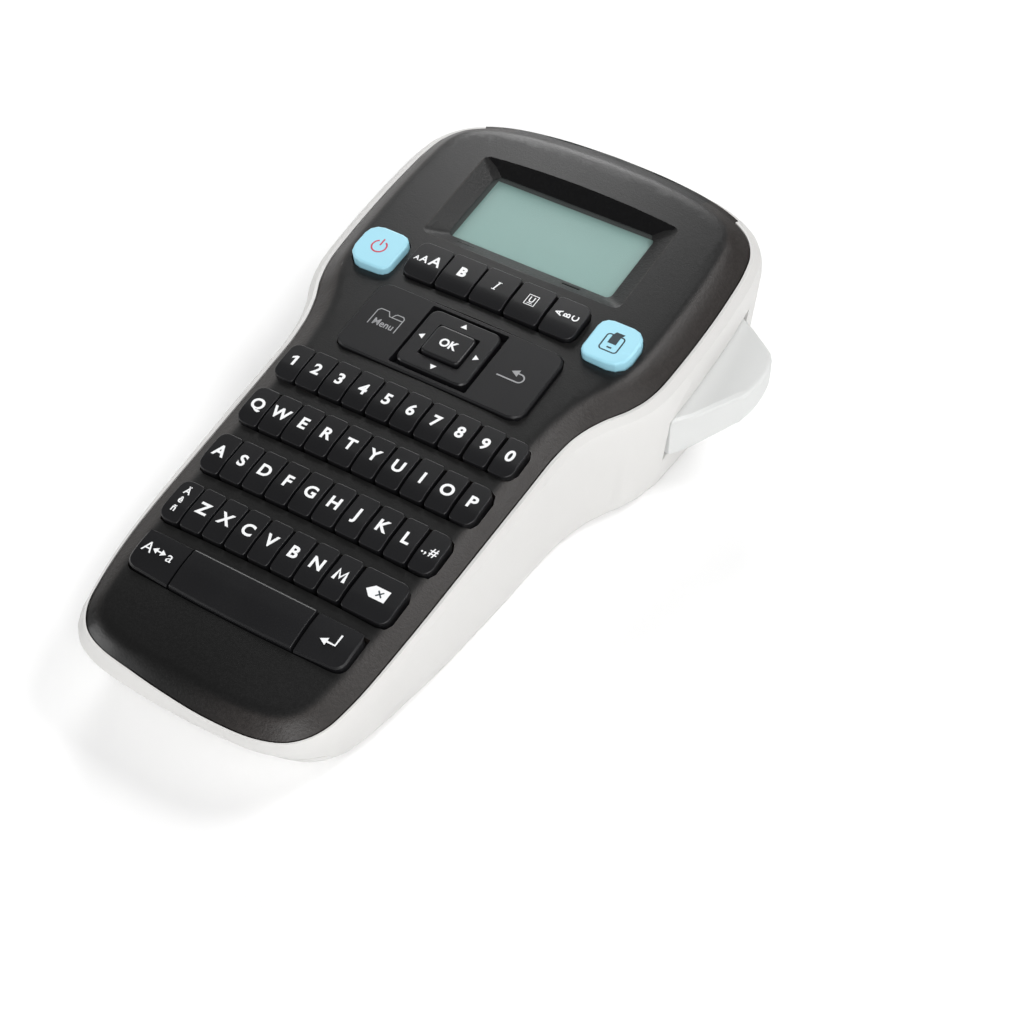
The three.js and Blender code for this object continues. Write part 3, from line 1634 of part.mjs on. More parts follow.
/** The strip at one end of the bay: a cone for each cell's flat end, a flat pad for each nub. */
function contactStrip(end) {
  const wall = end < 0 ? bay.near : bay.far;
  const inner = wall - end * (seat + contact.thick);
  const cellEnd = (bay.near + bay.far) / 2 + (end * cells.length) / 2;
  const reach = Math.abs(inner - cellEnd) - seat;
  const low = cellZ - contact.height / 2;
  const strip = block(
    -bay.half + contact.inset,
    bay.half - contact.inset,
    Math.min(wall - end * seat, inner),
    Math.max(wall - end * seat, inner),
    low,
    low + contact.height,
  );
  const cones = cellPlaces().filter(({ towardsFar }) => (end < 0) === towardsFar).map(({ x }) => {
    const height = reach + contact.thick / 2;
    const cone = new THREE.CylinderGeometry(contact.springTip, contact.springRadius, height, 10);
    if (end > 0) cone.rotateX(Math.PI);
    return solidOf(cone.translate(x, inner - end * (reach / 2 - contact.thick / 4), cellZ));
  });
  return geometryOf(union([solidOf(strip), ...cones]));
}

/** The case screws, put in from the back. */
function screwPieces() {
  const profile = [
    [0, 0],
    [screw.head, 0],
    [screw.head, screw.headHeight],
    [screw.shank, screw.headHeight],
    [screw.shank, screw.length],
    [0, screw.length],
  ];
  return screwPlaces.map(([x, y], i) => {
    const mesh = piece(`case_screw_${i + 1}`, turned(profile, 10), colour.steel, 0.4, 0.9);
    mesh.position.set(x, y, screw.sink - screw.headHeight - seat);
    return mesh;
  });
}

const farWall = (x) => {
  const points = partingLine(skinSteps).filter((point) => point.y > 0);
  const away = (point) => Math.abs(point.x - x);
  const nearest = points.reduce((best, point) => (away(point) < away(best) ? point : best));
  return nearest.y + shell.wallOffset;
};

/** The hole for the power jack in the display end. */
function jackHole() {
  const radius = jack.barrel + play;
  const hole = new THREE.CylinderGeometry(radius, radius, 4 * shell.wall + overrun, 20);
  return hole.translate(jack.x, farWall(jack.x) - shell.wall, jack.z);
}

/** The power jack: a barrel with a centre pin on a square body. */
function powerJack() {
  const mouth = farWall(jack.x) - shell.wall;
  const barrel = new THREE.CylinderGeometry(jack.barrel, jack.barrel, jack.depth, 20)
    .translate(jack.x, mouth - jack.depth / 2, jack.z);
  const body = block(
    jack.x - jack.half,
    jack.x + jack.half,
    mouth - jack.bodyEnd,
    mouth - jack.depth / 2,
    jack.z - jack.half,
    jack.z + jack.half,
  );
  const bore = new THREE.CylinderGeometry(jack.radius, jack.radius, jack.depth, 16)
    .translate(jack.x, mouth - jack.depth / 2 + seat, jack.z);
  const pin = new THREE.CylinderGeometry(jack.pin, jack.pin, jack.depth, 8)
    .translate(jack.x, mouth - jack.depth / 2 - seat, jack.z);
  return geometryOf(solidOf(barrel).add(solidOf(body)).subtract(solidOf(bore)).add(solidOf(pin)));
}

/** A named mesh with its own material. */
function piece(name, geometry, hex, roughness = 0.6, metalness = 0) {
  const material = new THREE.MeshStandardMaterial({ color: hex, roughness, metalness });
  const mesh = new THREE.Mesh(geometry, material);
  mesh.name = name;
  return mesh;
}

/** The power button on the left or the print button on the right. */
function actionButton(side) {
  return slab(actionShape(side, 0), key.bottom, keyTop(actionCentre) + action.stand, key.edge);
}

/** The strips of letter keys: the last of them stops short of the double-width key. */
function letterStrips() {
  const whole = (row) => rowStrip(row, 0, row.count - 1);
  return [
    piece('digit_keys', whole(rows.digits), colour.keycap, 0.5),
    piece('upper_letter_keys', whole(rows.upper), colour.keycap, 0.5),
    piece('middle_letter_keys', whole(rows.middle), colour.keycap, 0.5),
    piece('lower_letter_keys', rowStrip(rows.lower, 0, rows.lower.singleCount - 1), colour.keycap, 0.5),
  ];
}

/** The keys of the bottom row. */
function bottomPieces() {
  const { half } = rows.bottom;
  const inner = spaceHalf - key.gap / 2;
  const outer = spaceHalf + key.gap / 2;
  return [
    piece('case_shift_key', bottomRowKey(-half, -outer), colour.keycap, 0.5),
    piece('space_bar', bottomRowKey(-inner, inner), colour.keycap, 0.5),
    piece('return_key', bottomRowKey(outer, half), colour.keycap, 0.5),
  ];
}

/** Everything that lies in the tilted face. */
function faceGroup() {
  const group = new THREE.Group();
  group.position.set(0, faceAlong, faceHeight);
  group.rotation.x = faceTilt;
  const formatNames = ['size_key', 'bold_key', 'italic_key', 'box_key', 'vertical_key'];
  group.add(
    piece('front_cover', geometryOf(frontCover()), colour.charcoal, 0.45),
    piece('display_window', displayWindow(), colour.glass, 0.08),
    piece('display_module', displayModule(), colour.screenGrey, 0.4),
    piece('keypad_mat', keypadMat(), colour.rubber, 0.8),
    piece('circuit_board', circuitBoard(), colour.board, 0.5),
    piece('power_button', actionButton(-1), colour.cyan, 0.4),
    piece('print_button', actionButton(1), colour.cyan, 0.4),
    ...formatNames.map((name, i) => piece(name, rowKeys(format, i, i)[0], colour.keycap, 0.5)),
    piece('nav_panel', navPanel(), colour.panel, 0.4),
    piece('nav_ring', navRing(), colour.keycap, 0.35),
    piece('nav_cradle', navCradle(), colour.rubber, 0.8),
    piece('ok_button', okButton(), colour.keycap, 0.45),
    ...letterStrips(),
    piece('backspace_key', backspaceKey(), colour.keycap, 0.5),
    ...bottomPieces(),
  );
  return group;
}

/** The double-width key at the end of the lower letter row. */
function backspaceKey() {
  const { near, far, half } = rows.lower;
  return keyBlock(backspaceFrom, half, near, far, rowRadii(false, true));
}

/** Everything that lies square to the flat back. */
function caseGroup() {
  const group = new THREE.Group();
  group.add(
    piece('rear_case', rearCase(), colour.shell, 0.5),
    piece('cassette_door', cassetteDoor(), colour.shell, 0.5),
    piece('battery_door', batteryCover(), colour.shell, 0.5),
    piece('mechanism_frame', mechanismFrame(), colour.trayBlack, 0.7),
    piece('platen_roller', platenRoller(), colour.rubber, 0.8),
    piece('idler_gear', idlerGear(), colour.gearWhite, 0.5),
    piece('second_gear', doubleWheel(
      train.second,
      { count: teeth.secondSmallCount, toothAt: secondSmallTooth, layer: 2 },
      { count: teeth.secondLargeCount, toothAt: 0, layer: 1 },
    ), colour.gearWhite, 0.5),
    piece('first_gear', doubleWheel(
      train.first,
      { count: teeth.firstSmallCount, toothAt: firstSmallTooth, layer: 1 },
      { count: teeth.firstLargeCount, toothAt: 0, layer: 0 },
    ), colour.gearWhite, 0.5),
    piece('drive_motor', driveMotor(), colour.steel, 0.35, 0.9),
    piece('motor_pinion', motorPinion(), colour.brass, 0.35, 0.9),
    piece('ribbon_spindle', ribbonSpindle(), colour.gearWhite, 0.5),
    piece('head_carrier', headCarrier(), colour.trayBlack, 0.6),
    piece('print_head', printHead(), colour.steel, 0.3, 0.9),
    piece('cutter_lever', cutterLever(), colour.lever, 0.5),
    piece('lever_pivot_pin', leverPin(), colour.steel, 0.3, 0.9),
    piece('lever_spring', leverSpring(), colour.steel, 0.3, 0.9),
    piece('blade_carrier', bladeCarrier(), colour.trayBlack, 0.6),
    piece('cutter_blade', cutterBlade(), colour.steel, 0.2, 1),
    piece('cutter_anvil', cutterAnvil(), colour.steel, 0.3, 0.9),
    piece('cassette_case', cassetteCase(), colour.cassette, 0.4),
    piece('tape_spool', woundSpool({ x: tape.rollX, y: tape.rollY }, tape.rollRadius), colour.tape, 0.6),
    piece('ribbon_spool', woundSpool(train.ribbon, spool.ribbonRadius), colour.ribbon, 0.5),
    piece('label_strip', labelStrip(), colour.tape, 0.6),
    ...batteryPieces(),
    piece('near_contact_strip', contactStrip(-1), colour.steel, 0.35, 0.9),
    piece('far_contact_strip', contactStrip(1), colour.steel, 0.35, 0.9),
    piece('power_jack', powerJack(), colour.trayBlack, 0.6),
    ...screwPieces(),
  );
  return group;
}

const model = new THREE.Group();
model.add(caseGroup(), faceGroup());

export default model;
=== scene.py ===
"""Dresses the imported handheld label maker: finishes, keys, legends, small fittings, light and camera."""

import logging
import math
from dataclasses import dataclass, field
from enum import Enum
from typing import Callable, Optional, Sequence, Union

import bmesh
import bpy
from mathutils import Matrix, Vector


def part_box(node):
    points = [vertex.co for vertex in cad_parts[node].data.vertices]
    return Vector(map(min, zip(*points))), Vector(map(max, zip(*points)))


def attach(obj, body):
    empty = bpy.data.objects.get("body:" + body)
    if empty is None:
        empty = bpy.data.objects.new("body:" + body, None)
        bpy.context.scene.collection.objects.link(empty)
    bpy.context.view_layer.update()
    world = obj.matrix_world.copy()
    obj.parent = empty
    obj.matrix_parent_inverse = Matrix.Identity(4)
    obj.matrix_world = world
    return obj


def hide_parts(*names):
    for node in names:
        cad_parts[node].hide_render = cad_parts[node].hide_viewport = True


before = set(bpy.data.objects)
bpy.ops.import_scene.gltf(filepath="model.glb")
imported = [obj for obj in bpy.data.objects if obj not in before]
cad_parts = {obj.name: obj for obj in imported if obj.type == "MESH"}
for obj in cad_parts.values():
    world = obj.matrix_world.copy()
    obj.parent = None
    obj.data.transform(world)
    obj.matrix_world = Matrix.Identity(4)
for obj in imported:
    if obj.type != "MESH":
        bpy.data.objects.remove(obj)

log = logging.getLogger("label_maker")

MM = 0.001
LEAST_ROUNDED = math.radians(28.0)
WEIGHT_OF_AREA = 60
ROLL_CURVE = 1.6
ABOVE_PLATE = 0.4
Colour = tuple[float, float, float]


# ---- Places in the tilted face ----


@dataclass(frozen=True)
class Face:
    """The tilted plane of the keys, in millimetres, with its origin at the digit keys' tops."""

    tilt: float = math.radians(8.2)
    along: float = -4.0
    height: float = 43.0
    crown: float = 565.0
    stand: float = 2.0

    def matrix(self) -> Matrix:
        """The change from face millimetres to metres of the object's frame."""
        place = Matrix.Translation(Vector((0.0, self.along, self.height)) * MM)
        return place @ Matrix.Rotation(self.tilt, 4, "X") @ Matrix.Scale(MM, 4)

    def inverse(self) -> Matrix:
        """The change from metres of the object's frame to face millimetres."""
        return self.matrix().inverted()

    def sag(self, x: float) -> float:
        """How far the crowned surface has dropped at a distance from the middle line."""
        return x * x / (2.0 * self.crown)

    def key_top(self, x: float) -> float:
        """The height of a key's top whose middle is at x."""
        return -self.sag(x)

    def plate(self, x: float) -> float:
        """The height of the cover's plate at x."""
        return -self.sag(x) - self.stand


FACE = Face()


def srgb(red: int, green: int, blue: int) -> Colour:
    """Turns a colour seen on a screen into the linear values that shaders take."""

    def linear(value: int) -> float:
        """One channel from 0 to 255, made linear."""
        share = value / 255.0
        return share / 12.92 if share <= 0.04045 else ((share + 0.055) / 1.055) ** 2.4

    return (linear(red), linear(green), linear(blue))


# ---- Shader writing ----


@dataclass
class Value:
    """A shader socket on which Python arithmetic adds Math nodes."""

    sheet: "Sheet"
    socket: bpy.types.NodeSocket

    def _math(self, operation: str, *others: Union["Value", float], swap: bool = False) -> "Value":
        """Adds one Math node.

        Args:
            operation: The node's operation.
            others: The other operands.
            swap: Whether this value comes second.

        Returns:
            The node's result.
        """
        operands = [self, *others]
        if swap:
            operands = [others[0], self]
        return self.sheet.add("ShaderNodeMath", {"operation": operation}, dict(enumerate(operands)))

    def __add__(self, other: Union["Value", float]) -> "Value":
        """self + other."""
        return self._math("ADD", other)

    __radd__ = __add__

    def __sub__(self, other: Union["Value", float]) -> "Value":
        """self - other."""
        return self._math("SUBTRACT", other)

    def __rsub__(self, other: Union["Value", float]) -> "Value":
        """other - self."""
        return self._math("SUBTRACT", other, swap=True)

    def __mul__(self, other: Union["Value", float]) -> "Value":
        """self * other."""
        return self._math("MULTIPLY", other)

    __rmul__ = __mul__

    def size(self) -> "Value":
        """The value without its sign."""
        return self._math("ABSOLUTE")

    def wave(self) -> "Value":
        """The sine of the value."""
        return self._math("SINE")

    def root(self) -> "Value":
        """The square root of the value."""
        return self._math("SQRT")

    def within(self, low: float, high: float) -> "Value":
        """A soft step from 0 at low to 1 at high."""
        return self.sheet.add(
            "ShaderNodeMapRange",
            {"interpolation_type": "SMOOTHSTEP", "clamp": True},
            {"Value": self, "From Min": low, "From Max": high},
        )


class Sheet:
    """One material's node tree, written from an empty page."""

    def __init__(self, name: str) -> None:
        """Makes the material with its surface shader.

        Args:
            name: The material's name.
        """
        self.material = bpy.data.materials.new(name)
        self.material.use_nodes = True
        self.tree = self.material.node_tree
        self.shader = self.tree.nodes["Principled BSDF"]

    def add(self, kind: str, settings: dict, inputs: dict, output: Union[int, str] = 0) -> Value:
        """Adds one node.

        Args:
            kind: The node's type.
            settings: Properties that are set before the sockets.
            inputs: Numbers, colours or values by socket name or index.
            output: Which of its outputs is wanted.

        Returns:
            That output.
        """
        node = self.tree.nodes.new(kind)
        for key, value in settings.items():
            setattr(node, key, value)
        for key, value in inputs.items():
            socket = node.inputs[key]
            if isinstance(value, Value):
                self.tree.links.new(value.socket, socket)
            elif isinstance(value, tuple) and len(value) == 3 and socket.type == "RGBA":
                socket.default_value = (*value, 1.0)
            else:
                socket.default_value = value
        return Value(self, node.outputs[output])

    def set(self, **sockets: Union[float, Colour, Value]) -> None:
        """Sets the surface shader's sockets; an underscore in a name stands for a space."""
        for key, value in sockets.items():
            socket = self.shader.inputs[key.replace("_", " ")]
            if isinstance(value, Value):
                self.tree.links.new(value.socket, socket)
            elif isinstance(value, tuple):
                socket.default_value = (*value, 1.0)
            else:
                socket.default_value = value

    def place(self) -> Value:
        """The point on the object, in metres."""
        return self.add("ShaderNodeTexCoord", {}, {}, "Object")

    def in_face(self) -> Value:
        """The point in the tilted face's own directions, in metres."""
        return self.add(
            "ShaderNodeMapping",
            {"vector_type": "TEXTURE"},
            {
                "Vector": self.place(),
                "Location": (0.0, FACE.along * MM, FACE.height * MM),
                "Rotation": (FACE.tilt, 0.0, 0.0),
            },
        )

    def axis(self, vector: Value, index: int) -> Value:
        """One coordinate of a point."""
        return self.add("ShaderNodeSeparateXYZ", {}, {0: vector}, index)

    def millimetres(self, vector: Value) -> tuple[Value, Value]:
        """The first two coordinates of a point, in millimetres."""
        return self.axis(vector, 0) * (1.0 / MM), self.axis(vector, 1) * (1.0 / MM)

    def facing(self, normal: Value, direction: tuple[float, float, float]) -> Value:
        """How squarely a normal faces a direction, 1 at most."""
        return self.add("ShaderNodeVectorMath", {"operation": "DOT_PRODUCT"}, {0: normal, 1: direction}, "Value")

    def stretched(self, vector: Value, scale: tuple[float, float, float]) -> Value:
        """The point scaled apart along each axis."""
        return self.add("ShaderNodeMapping", {}, {"Vector": vector, "Scale": scale})

    def noise(self, vector: Value, scale: float, detail: float = 3.0, roughness: float = 0.5) -> Value:
        """Noise from 0 to 1.

        Args:
            vector: The point.
            scale: Waves in a metre.
            detail: Octaves.
            roughness: How strong the small octaves are.

        Returns:
            The noise.
        """
        return self.add(
            "ShaderNodeTexNoise",
            {},
            {"Vector": vector, "Scale": scale, "Detail": detail, "Roughness": roughness},
        )

    def mix(self, share: Union[Value, float], first: Union[Value, Colour], second: Union[Value, Colour]) -> Value:
        """A colour between two colours."""
        return self.add("ShaderNodeMix", {"data_type": "RGBA"}, {0: share, 6: first, 7: second}, 2)

    def relief(self, height: Value, depth: float, strength: float = 1.0) -> None:
        """Bumps the surface.

        Args:
            height: The relief from 0 to 1.
            depth: What 1 stands for, in metres.
            strength: How much of it shows.
        """
        inputs = {"Height": height, "Distance": depth, "Strength": strength}
        self.set(Normal=self.add("ShaderNodeBump", {}, inputs))


def shade(colour: Colour, factor: float) -> Colour:
    """A colour made darker or lighter."""
    return tuple(min(1.0, part * factor) for part in colour)


# ---- Finishes ----


@dataclass(frozen=True)
class MouldedPlastic:
    """Moulded plastic with a spark-eroded grain, slow colour drift and a few worn high spots."""

    name: str
    colour: Colour
    roughness: float = 0.45
    grain: float = 1500.0
    grain_depth: float = 0.02 * MM
    drift: float = 0.05
    specular: float = 0.5

    def make(self) -> bpy.types.Material:
        """Writes the material."""
        sheet = Sheet(self.name)
        place = sheet.place()
        fine = sheet.noise(place, self.grain, 2.0, 0.6)
        broad = sheet.noise(place, 28.0, 3.0)
        cloud = broad.within(0.3, 0.7)
        dark = shade(self.colour, 1.0 - self.drift)
        light = shade(self.colour, 1.0 + self.drift)
        speck = sheet.noise(place, 420.0, 1.0).within(0.74, 0.8)
        tint = sheet.mix(cloud, dark, light)
        sheet.set(
            Base_Color=sheet.mix(speck * 0.35, tint, shade(self.colour, 1.0 + 3.0 * self.drift)),
            Roughness=(fine - 0.5) * 0.12 + cloud * 0.04 + (self.roughness - 0.02),
            Specular_IOR_Level=self.specular,
        )
        sheet.relief(fine, self.grain_depth, 0.8)
        return sheet.material


@dataclass(frozen=True)
class CoverPlastic:
    """The charcoal cover: satin on the plate, a coarser leathery grain on the band with a lighter, warmer tone
    that is partly its own and partly painted sheen, and a painted dark reflection on the far slope of the
    display's recess.
    """

    name: str = "cover_charcoal"
    plate: Colour = srgb(14, 14, 14)
    # Band colour: lighter and warmer than the plate, partly the band's own tone and partly painted sheen of the
    # light that its slope catches.
    band: Colour = srgb(38, 34, 32)
    # Near-black painted reflection for the far slope of the display's recess.
    painted_dark_reflection: Colour = srgb(9, 9, 10)
    band_sheen_facing: tuple[float, float] = (0.9, 0.985)
    # The front box at the near-left end, where the band's painted sheen is left out.
    front_along: tuple[float, float] = (-96.0, -66.0)
    front_across: tuple[float, float] = (-4.0, 30.0)
    recess_half: tuple[float, float] = (31.2, 31.5)
    recess_near: tuple[float, float] = (56.6, 56.9)
    painted_dark_facing: tuple[float, float] = (0.3, 0.5)

    def make(self) -> bpy.types.Material:
        """Writes the material."""
        sheet = Sheet(self.name)
        place = sheet.place()
        normal = sheet.add("ShaderNodeNewGeometry", {}, {}, "Normal")
        lean, rise = math.sin(FACE.tilt), math.cos(FACE.tilt)
        facing = sheet.facing(normal, (0.0, -lean, rise))
        back = sheet.facing(normal, (0.0, -rise, -lean))
        x, along = sheet.millimetres(sheet.in_face())
        front = (1.0 - along.within(*self.front_along)) * (1.0 - x.within(*self.front_across))
        # Mask of the band tone with its painted sheen: faces that lean off the plate, outside the front box.
        slope = (1.0 - facing.within(*self.band_sheen_facing)) * (1.0 - front)
        recess = (1.0 - x.size().within(*self.recess_half)) * along.within(*self.recess_near)
        # Painted dark reflection: the recess's far slope, which faces the near end, is coloured near-black.
        black = back.within(*self.painted_dark_facing) * recess
        coarse = sheet.noise(place, 1300.0, 2.0, 0.55)
        fine = sheet.noise(place, 3200.0, 1.0)
        cloud = sheet.noise(place, 24.0, 3.0).within(0.3, 0.7)
        plate = sheet.mix(cloud, shade(self.plate, 0.94), shade(self.plate, 1.06))
        band = sheet.mix(coarse.within(0.35, 0.65), shade(self.band, 0.86), shade(self.band, 1.14))
        sheet.set(
            Base_Color=sheet.mix(black, sheet.mix(slope * (1.0 - recess), plate, band), self.painted_dark_reflection),
            Roughness=(coarse - 0.5) * 0.16 + slope * 0.05 - black * 0.26 - front * 0.08 + 0.4,
            Specular_IOR_Level=0.44,
        )
        sheet.relief((coarse * (slope * 0.7 + 0.3) + fine * 0.3) * (1.0 - black), 0.08 * MM, 0.9)
        return sheet.material


@dataclass(frozen=True)
class DisplayFinish:
    """A grey-green liquid-crystal display with a dark border, the faint rows of its cells, and painted shade
    towards its sides and its far edge.
    """

    name: str = "display_grey"
    colour: Colour = srgb(124, 160, 154)
    half_width: float = 25.7
    near: float = 62.2
    far: float = 87.6

    def make(self) -> bpy.types.Material:
        """Writes the material."""
        sheet = Sheet(self.name)
        point = sheet.in_face()
        x, along = sheet.millimetres(point)
        middle = (self.near + self.far) / 2.0
        half = (self.far - self.near) / 2.0
        inside = (1.0 - x.size().within(self.half_width - 0.3, self.half_width)) * (
            1.0 - (along - middle).size().within(half - 0.3, half)
        )
        # Painted shade: the display is darkened towards its sides and most towards its far edge, under the
        # recess's rim.
        edge = x.size().within(self.half_width - 5.0, self.half_width) * 0.35
        edge = edge + (along - middle).within(half - 4.0, half) * 0.5
        rows = ((along * 7.0).wave() * (x * 7.0).wave()) * 0.5 + 0.5
        cloud = sheet.noise(point, 40.0, 2.0)
        lit = sheet.mix(cloud, shade(self.colour, 0.97), shade(self.colour, 1.03))
        lit = sheet.mix(rows * 0.05, lit, shade(self.colour, 0.8))
        lit = sheet.mix(edge, lit, shade(self.colour, 0.72))
        sheet.set(
            Base_Color=sheet.mix(inside, srgb(16, 18, 18), lit),
            Roughness=0.42 - inside * 0.08 + cloud * 0.05,
        )
        return sheet.material


@dataclass(frozen=True)
class ClearPlastic:
    """The clear display window, with a faint haze."""

    name: str = "window_clear"
    alpha: float = 0.04

    def make(self) -> bpy.types.Material:
        """Writes the material."""
        sheet = Sheet(self.name)
        haze = sheet.noise(sheet.place(), 60.0, 3.0)
        sheet.set(
            Base_Color=sheet.mix(haze, srgb(190, 202, 200), srgb(206, 214, 212)),
            Roughness=haze * 0.06 + 0.06,
            Alpha=haze * 0.03 + self.alpha,
        )
        return sheet.material


@dataclass(frozen=True)
class Metal:
    """Plain worked metal with fine scratches along one axis."""

    name: str
    colour: Colour
    roughness: float = 0.32
    run: tuple[float, float, float] = (2600.0, 120.0, 2600.0)

    def make(self) -> bpy.types.Material:
        """Writes the material."""
        sheet = Sheet(self.name)
        place = sheet.place()
        scratch = sheet.noise(sheet.stretched(place, self.run), 1.0, 3.0, 0.6)
        stain = sheet.noise(place, 90.0, 3.0)
        sheet.set(
            Base_Color=sheet.mix(stain, shade(self.colour, 0.86), shade(self.colour, 1.05)),
            Metallic=1.0,
            Roughness=scratch * 0.16 + stain * 0.08 + (self.roughness - 0.1),
        )
        sheet.relief(scratch, 0.006 * MM, 0.7)
        return sheet.material


@dataclass(frozen=True)
class BoardFinish:
    """A green circuit board with copper runs under its lacquer and tinned pads."""

    name: str = "board_green"

    def make(self) -> bpy.types.Material:
        """Writes the material."""
        sheet = Sheet(self.name)
        point = sheet.in_face()
        x, along = sheet.millimetres(point)
        runs = (x * 3.1).wave().within(0.55, 0.75) * sheet.noise(point, 60.0, 0.0).within(0.5, 0.52)
        across = (along * 3.1).wave().within(0.55, 0.75) * sheet.noise(point, 45.0, 0.0).within(0.55, 0.57)
        pads = (x * 1.2).wave().within(0.9, 0.94) * (along * 1.2).wave().within(0.9, 0.94)
        lacquer = sheet.mix(runs + across, srgb(24, 84, 52), srgb(52, 120, 66))
        sheet.set(
            Base_Color=sheet.mix(pads, lacquer, srgb(200, 200, 196)),
            Metallic=pads * 0.9,
            Roughness=0.36 + sheet.noise(point, 900.0) * 0.1,
        )
        sheet.relief(runs + across + pads, 0.03 * MM)
        return sheet.material


@dataclass(frozen=True)
class CellFinish:
    """A battery cell: a plain grey sleeve between bright metal ends."""

    name: str = "cell_sleeve"
    near: float = -67.1
    far: float = -23.1
    band: float = 2.2

    def make(self) -> bpy.types.Material:
        """Writes the material."""
        sheet = Sheet(self.name)
        place = sheet.place()
        along = sheet.millimetres(place)[1]
        middle = (self.near + self.far) / 2.0
        half = (self.far - self.near) / 2.0
        metal = (along - middle).size().within(half - self.band, half - self.band + 0.2)
        ring = (along - middle).size().within(half - 3.0 * self.band, half - 3.0 * self.band + 0.2)
        haze = sheet.noise(place, 200.0, 3.0)
        sleeve = sheet.mix(ring, srgb(58, 62, 70), srgb(176, 150, 92))
        sheet.set(
            Base_Color=sheet.mix(metal, sleeve, srgb(196, 198, 202)),
            Metallic=metal * 0.9,
            Roughness=0.22 + haze * 0.16,
        )
        sheet.relief(haze, 0.01 * MM)
        return sheet.material


@dataclass(frozen=True)
class WoundTape:
    """Tape or ribbon wound on its hub: fine turns round the spool's axis."""

    name: str
    colour: Colour
    hub: Colour
    centre: tuple[float, float]
    hub_radius: float

    def make(self) -> bpy.types.Material:
        """Writes the material."""
        sheet = Sheet(self.name)
        place = sheet.place()
        x, y = (value - middle for value, middle in zip(sheet.millimetres(place), self.centre))
        radius = (x * x + y * y).root()
        turns = (radius * 24.0).wave() * 0.5 + 0.5
        wound = sheet.mix(turns, shade(self.colour, 0.82), self.colour)
        outside = radius.within(self.hub_radius, self.hub_radius + 0.1)
        sheet.set(Base_Color=sheet.mix(outside, self.hub, wound), Roughness=0.5 + turns * 0.12)
        sheet.relief(turns, 0.03 * MM, 0.6)
        return sheet.material


@dataclass(frozen=True)
class Ink:
    """Printed or moulded-in legend ink with a slightly uneven coat."""

    name: str
    colour: Colour
    roughness: float = 0.5

    def make(self) -> bpy.types.Material:
        """Writes the material."""
        sheet = Sheet(self.name)
        coat = sheet.noise(sheet.place(), 2200.0, 2.0)
        sheet.set(
            Base_Color=sheet.mix(coat, shade(self.colour, 0.93), shade(self.colour, 1.03)),
            Roughness=coat * 0.15 + self.roughness - 0.07,
        )
        sheet.relief(coat, 0.01 * MM, 0.6)
        return sheet.material


class Finish(Enum):
    """Every finish on the object, by its plain name."""

    COVER = CoverPlastic()
    SHELL = MouldedPlastic("shell_white", srgb(210, 209, 207), 0.46, 1700.0, 0.012 * MM, 0.012)
    LEVER = MouldedPlastic("lever_white", srgb(208, 209, 208), 0.4, 2000.0, 0.01 * MM, 0.012)
    KEY = MouldedPlastic("key_black", srgb(18, 18, 20), 0.38, 2600.0, 0.012 * MM, 0.1, 0.42)
    PANEL = MouldedPlastic("panel_black", srgb(18, 18, 20), 0.46, 2600.0, 0.012 * MM, 0.08, 0.32)
    # Near-black finish for the bars that paint the dark reflections on the recess's near slope.
    REFLECTION_BAR = MouldedPlastic("painted_reflection_black", srgb(8, 8, 9), 0.6, 2600.0, 0.006 * MM, 0.1, 0.12)
    CYAN = MouldedPlastic("button_cyan", srgb(159, 213, 230), 0.36, 2400.0, 0.01 * MM, 0.03)
    RUBBER = MouldedPlastic("mat_rubber", srgb(48, 48, 51), 0.72, 1200.0, 0.02 * MM, 0.08)
    FRAME = MouldedPlastic("frame_black", srgb(30, 30, 33), 0.55, 1400.0, 0.02 * MM, 0.1)
    NYLON = MouldedPlastic("gear_white", srgb(228, 225, 214), 0.5, 1800.0, 0.012 * MM, 0.03)
    CASSETTE = MouldedPlastic("cassette_grey", srgb(62, 62, 67), 0.3, 900.0, 0.01 * MM, 0.06)
    DISPLAY = DisplayFinish()
    WINDOW = ClearPlastic()
    STEEL = Metal("steel", srgb(188, 191, 196))
    BRASS = Metal("brass", srgb(203, 168, 88), 0.3)
    BOARD = BoardFinish()
    CELL = CellFinish()
    TAPE = WoundTape("tape_white", srgb(240, 240, 235), srgb(206, 206, 204), (-7.0, 41.6), 4.7)
    RIBBON = WoundTape("ribbon_black", srgb(34, 34, 36), srgb(206, 206, 204), (10.6186, 61.7075), 4.7)
    STRIP = Ink("label_strip", srgb(242, 242, 238), 0.5)
    WHITE_INK = Ink("legend_white", srgb(238, 239, 240))
    GREY_INK = Ink("legend_grey", srgb(150, 151, 153))
    RED_INK = Ink("legend_red", srgb(196, 62, 84))
    DARK_INK = Ink("legend_dark", srgb(28, 44, 52))


class Paintbox:
    """Makes each finish once and hands out its material."""

    def __init__(self) -> None:
        """Starts with no material made."""
        self._made: dict[Finish, bpy.types.Material] = {}

    def get(self, finish: Finish) -> bpy.types.Material:
        """The material of a finish."""
        if finish not in self._made:
            self._made[finish] = finish.value.make()
        return self._made[finish]

    def paint(self, thing: bpy.types.Object, finish: Finish) -> None:
        """Gives a whole object one finish."""
        mesh = thing.data
        if not mesh.materials:
            mesh.materials.append(None)
        for index in range(len(mesh.materials)):
            mesh.materials[index] = self.get(finish)


PAINT = Paintbox()


# ---- The case outline ----


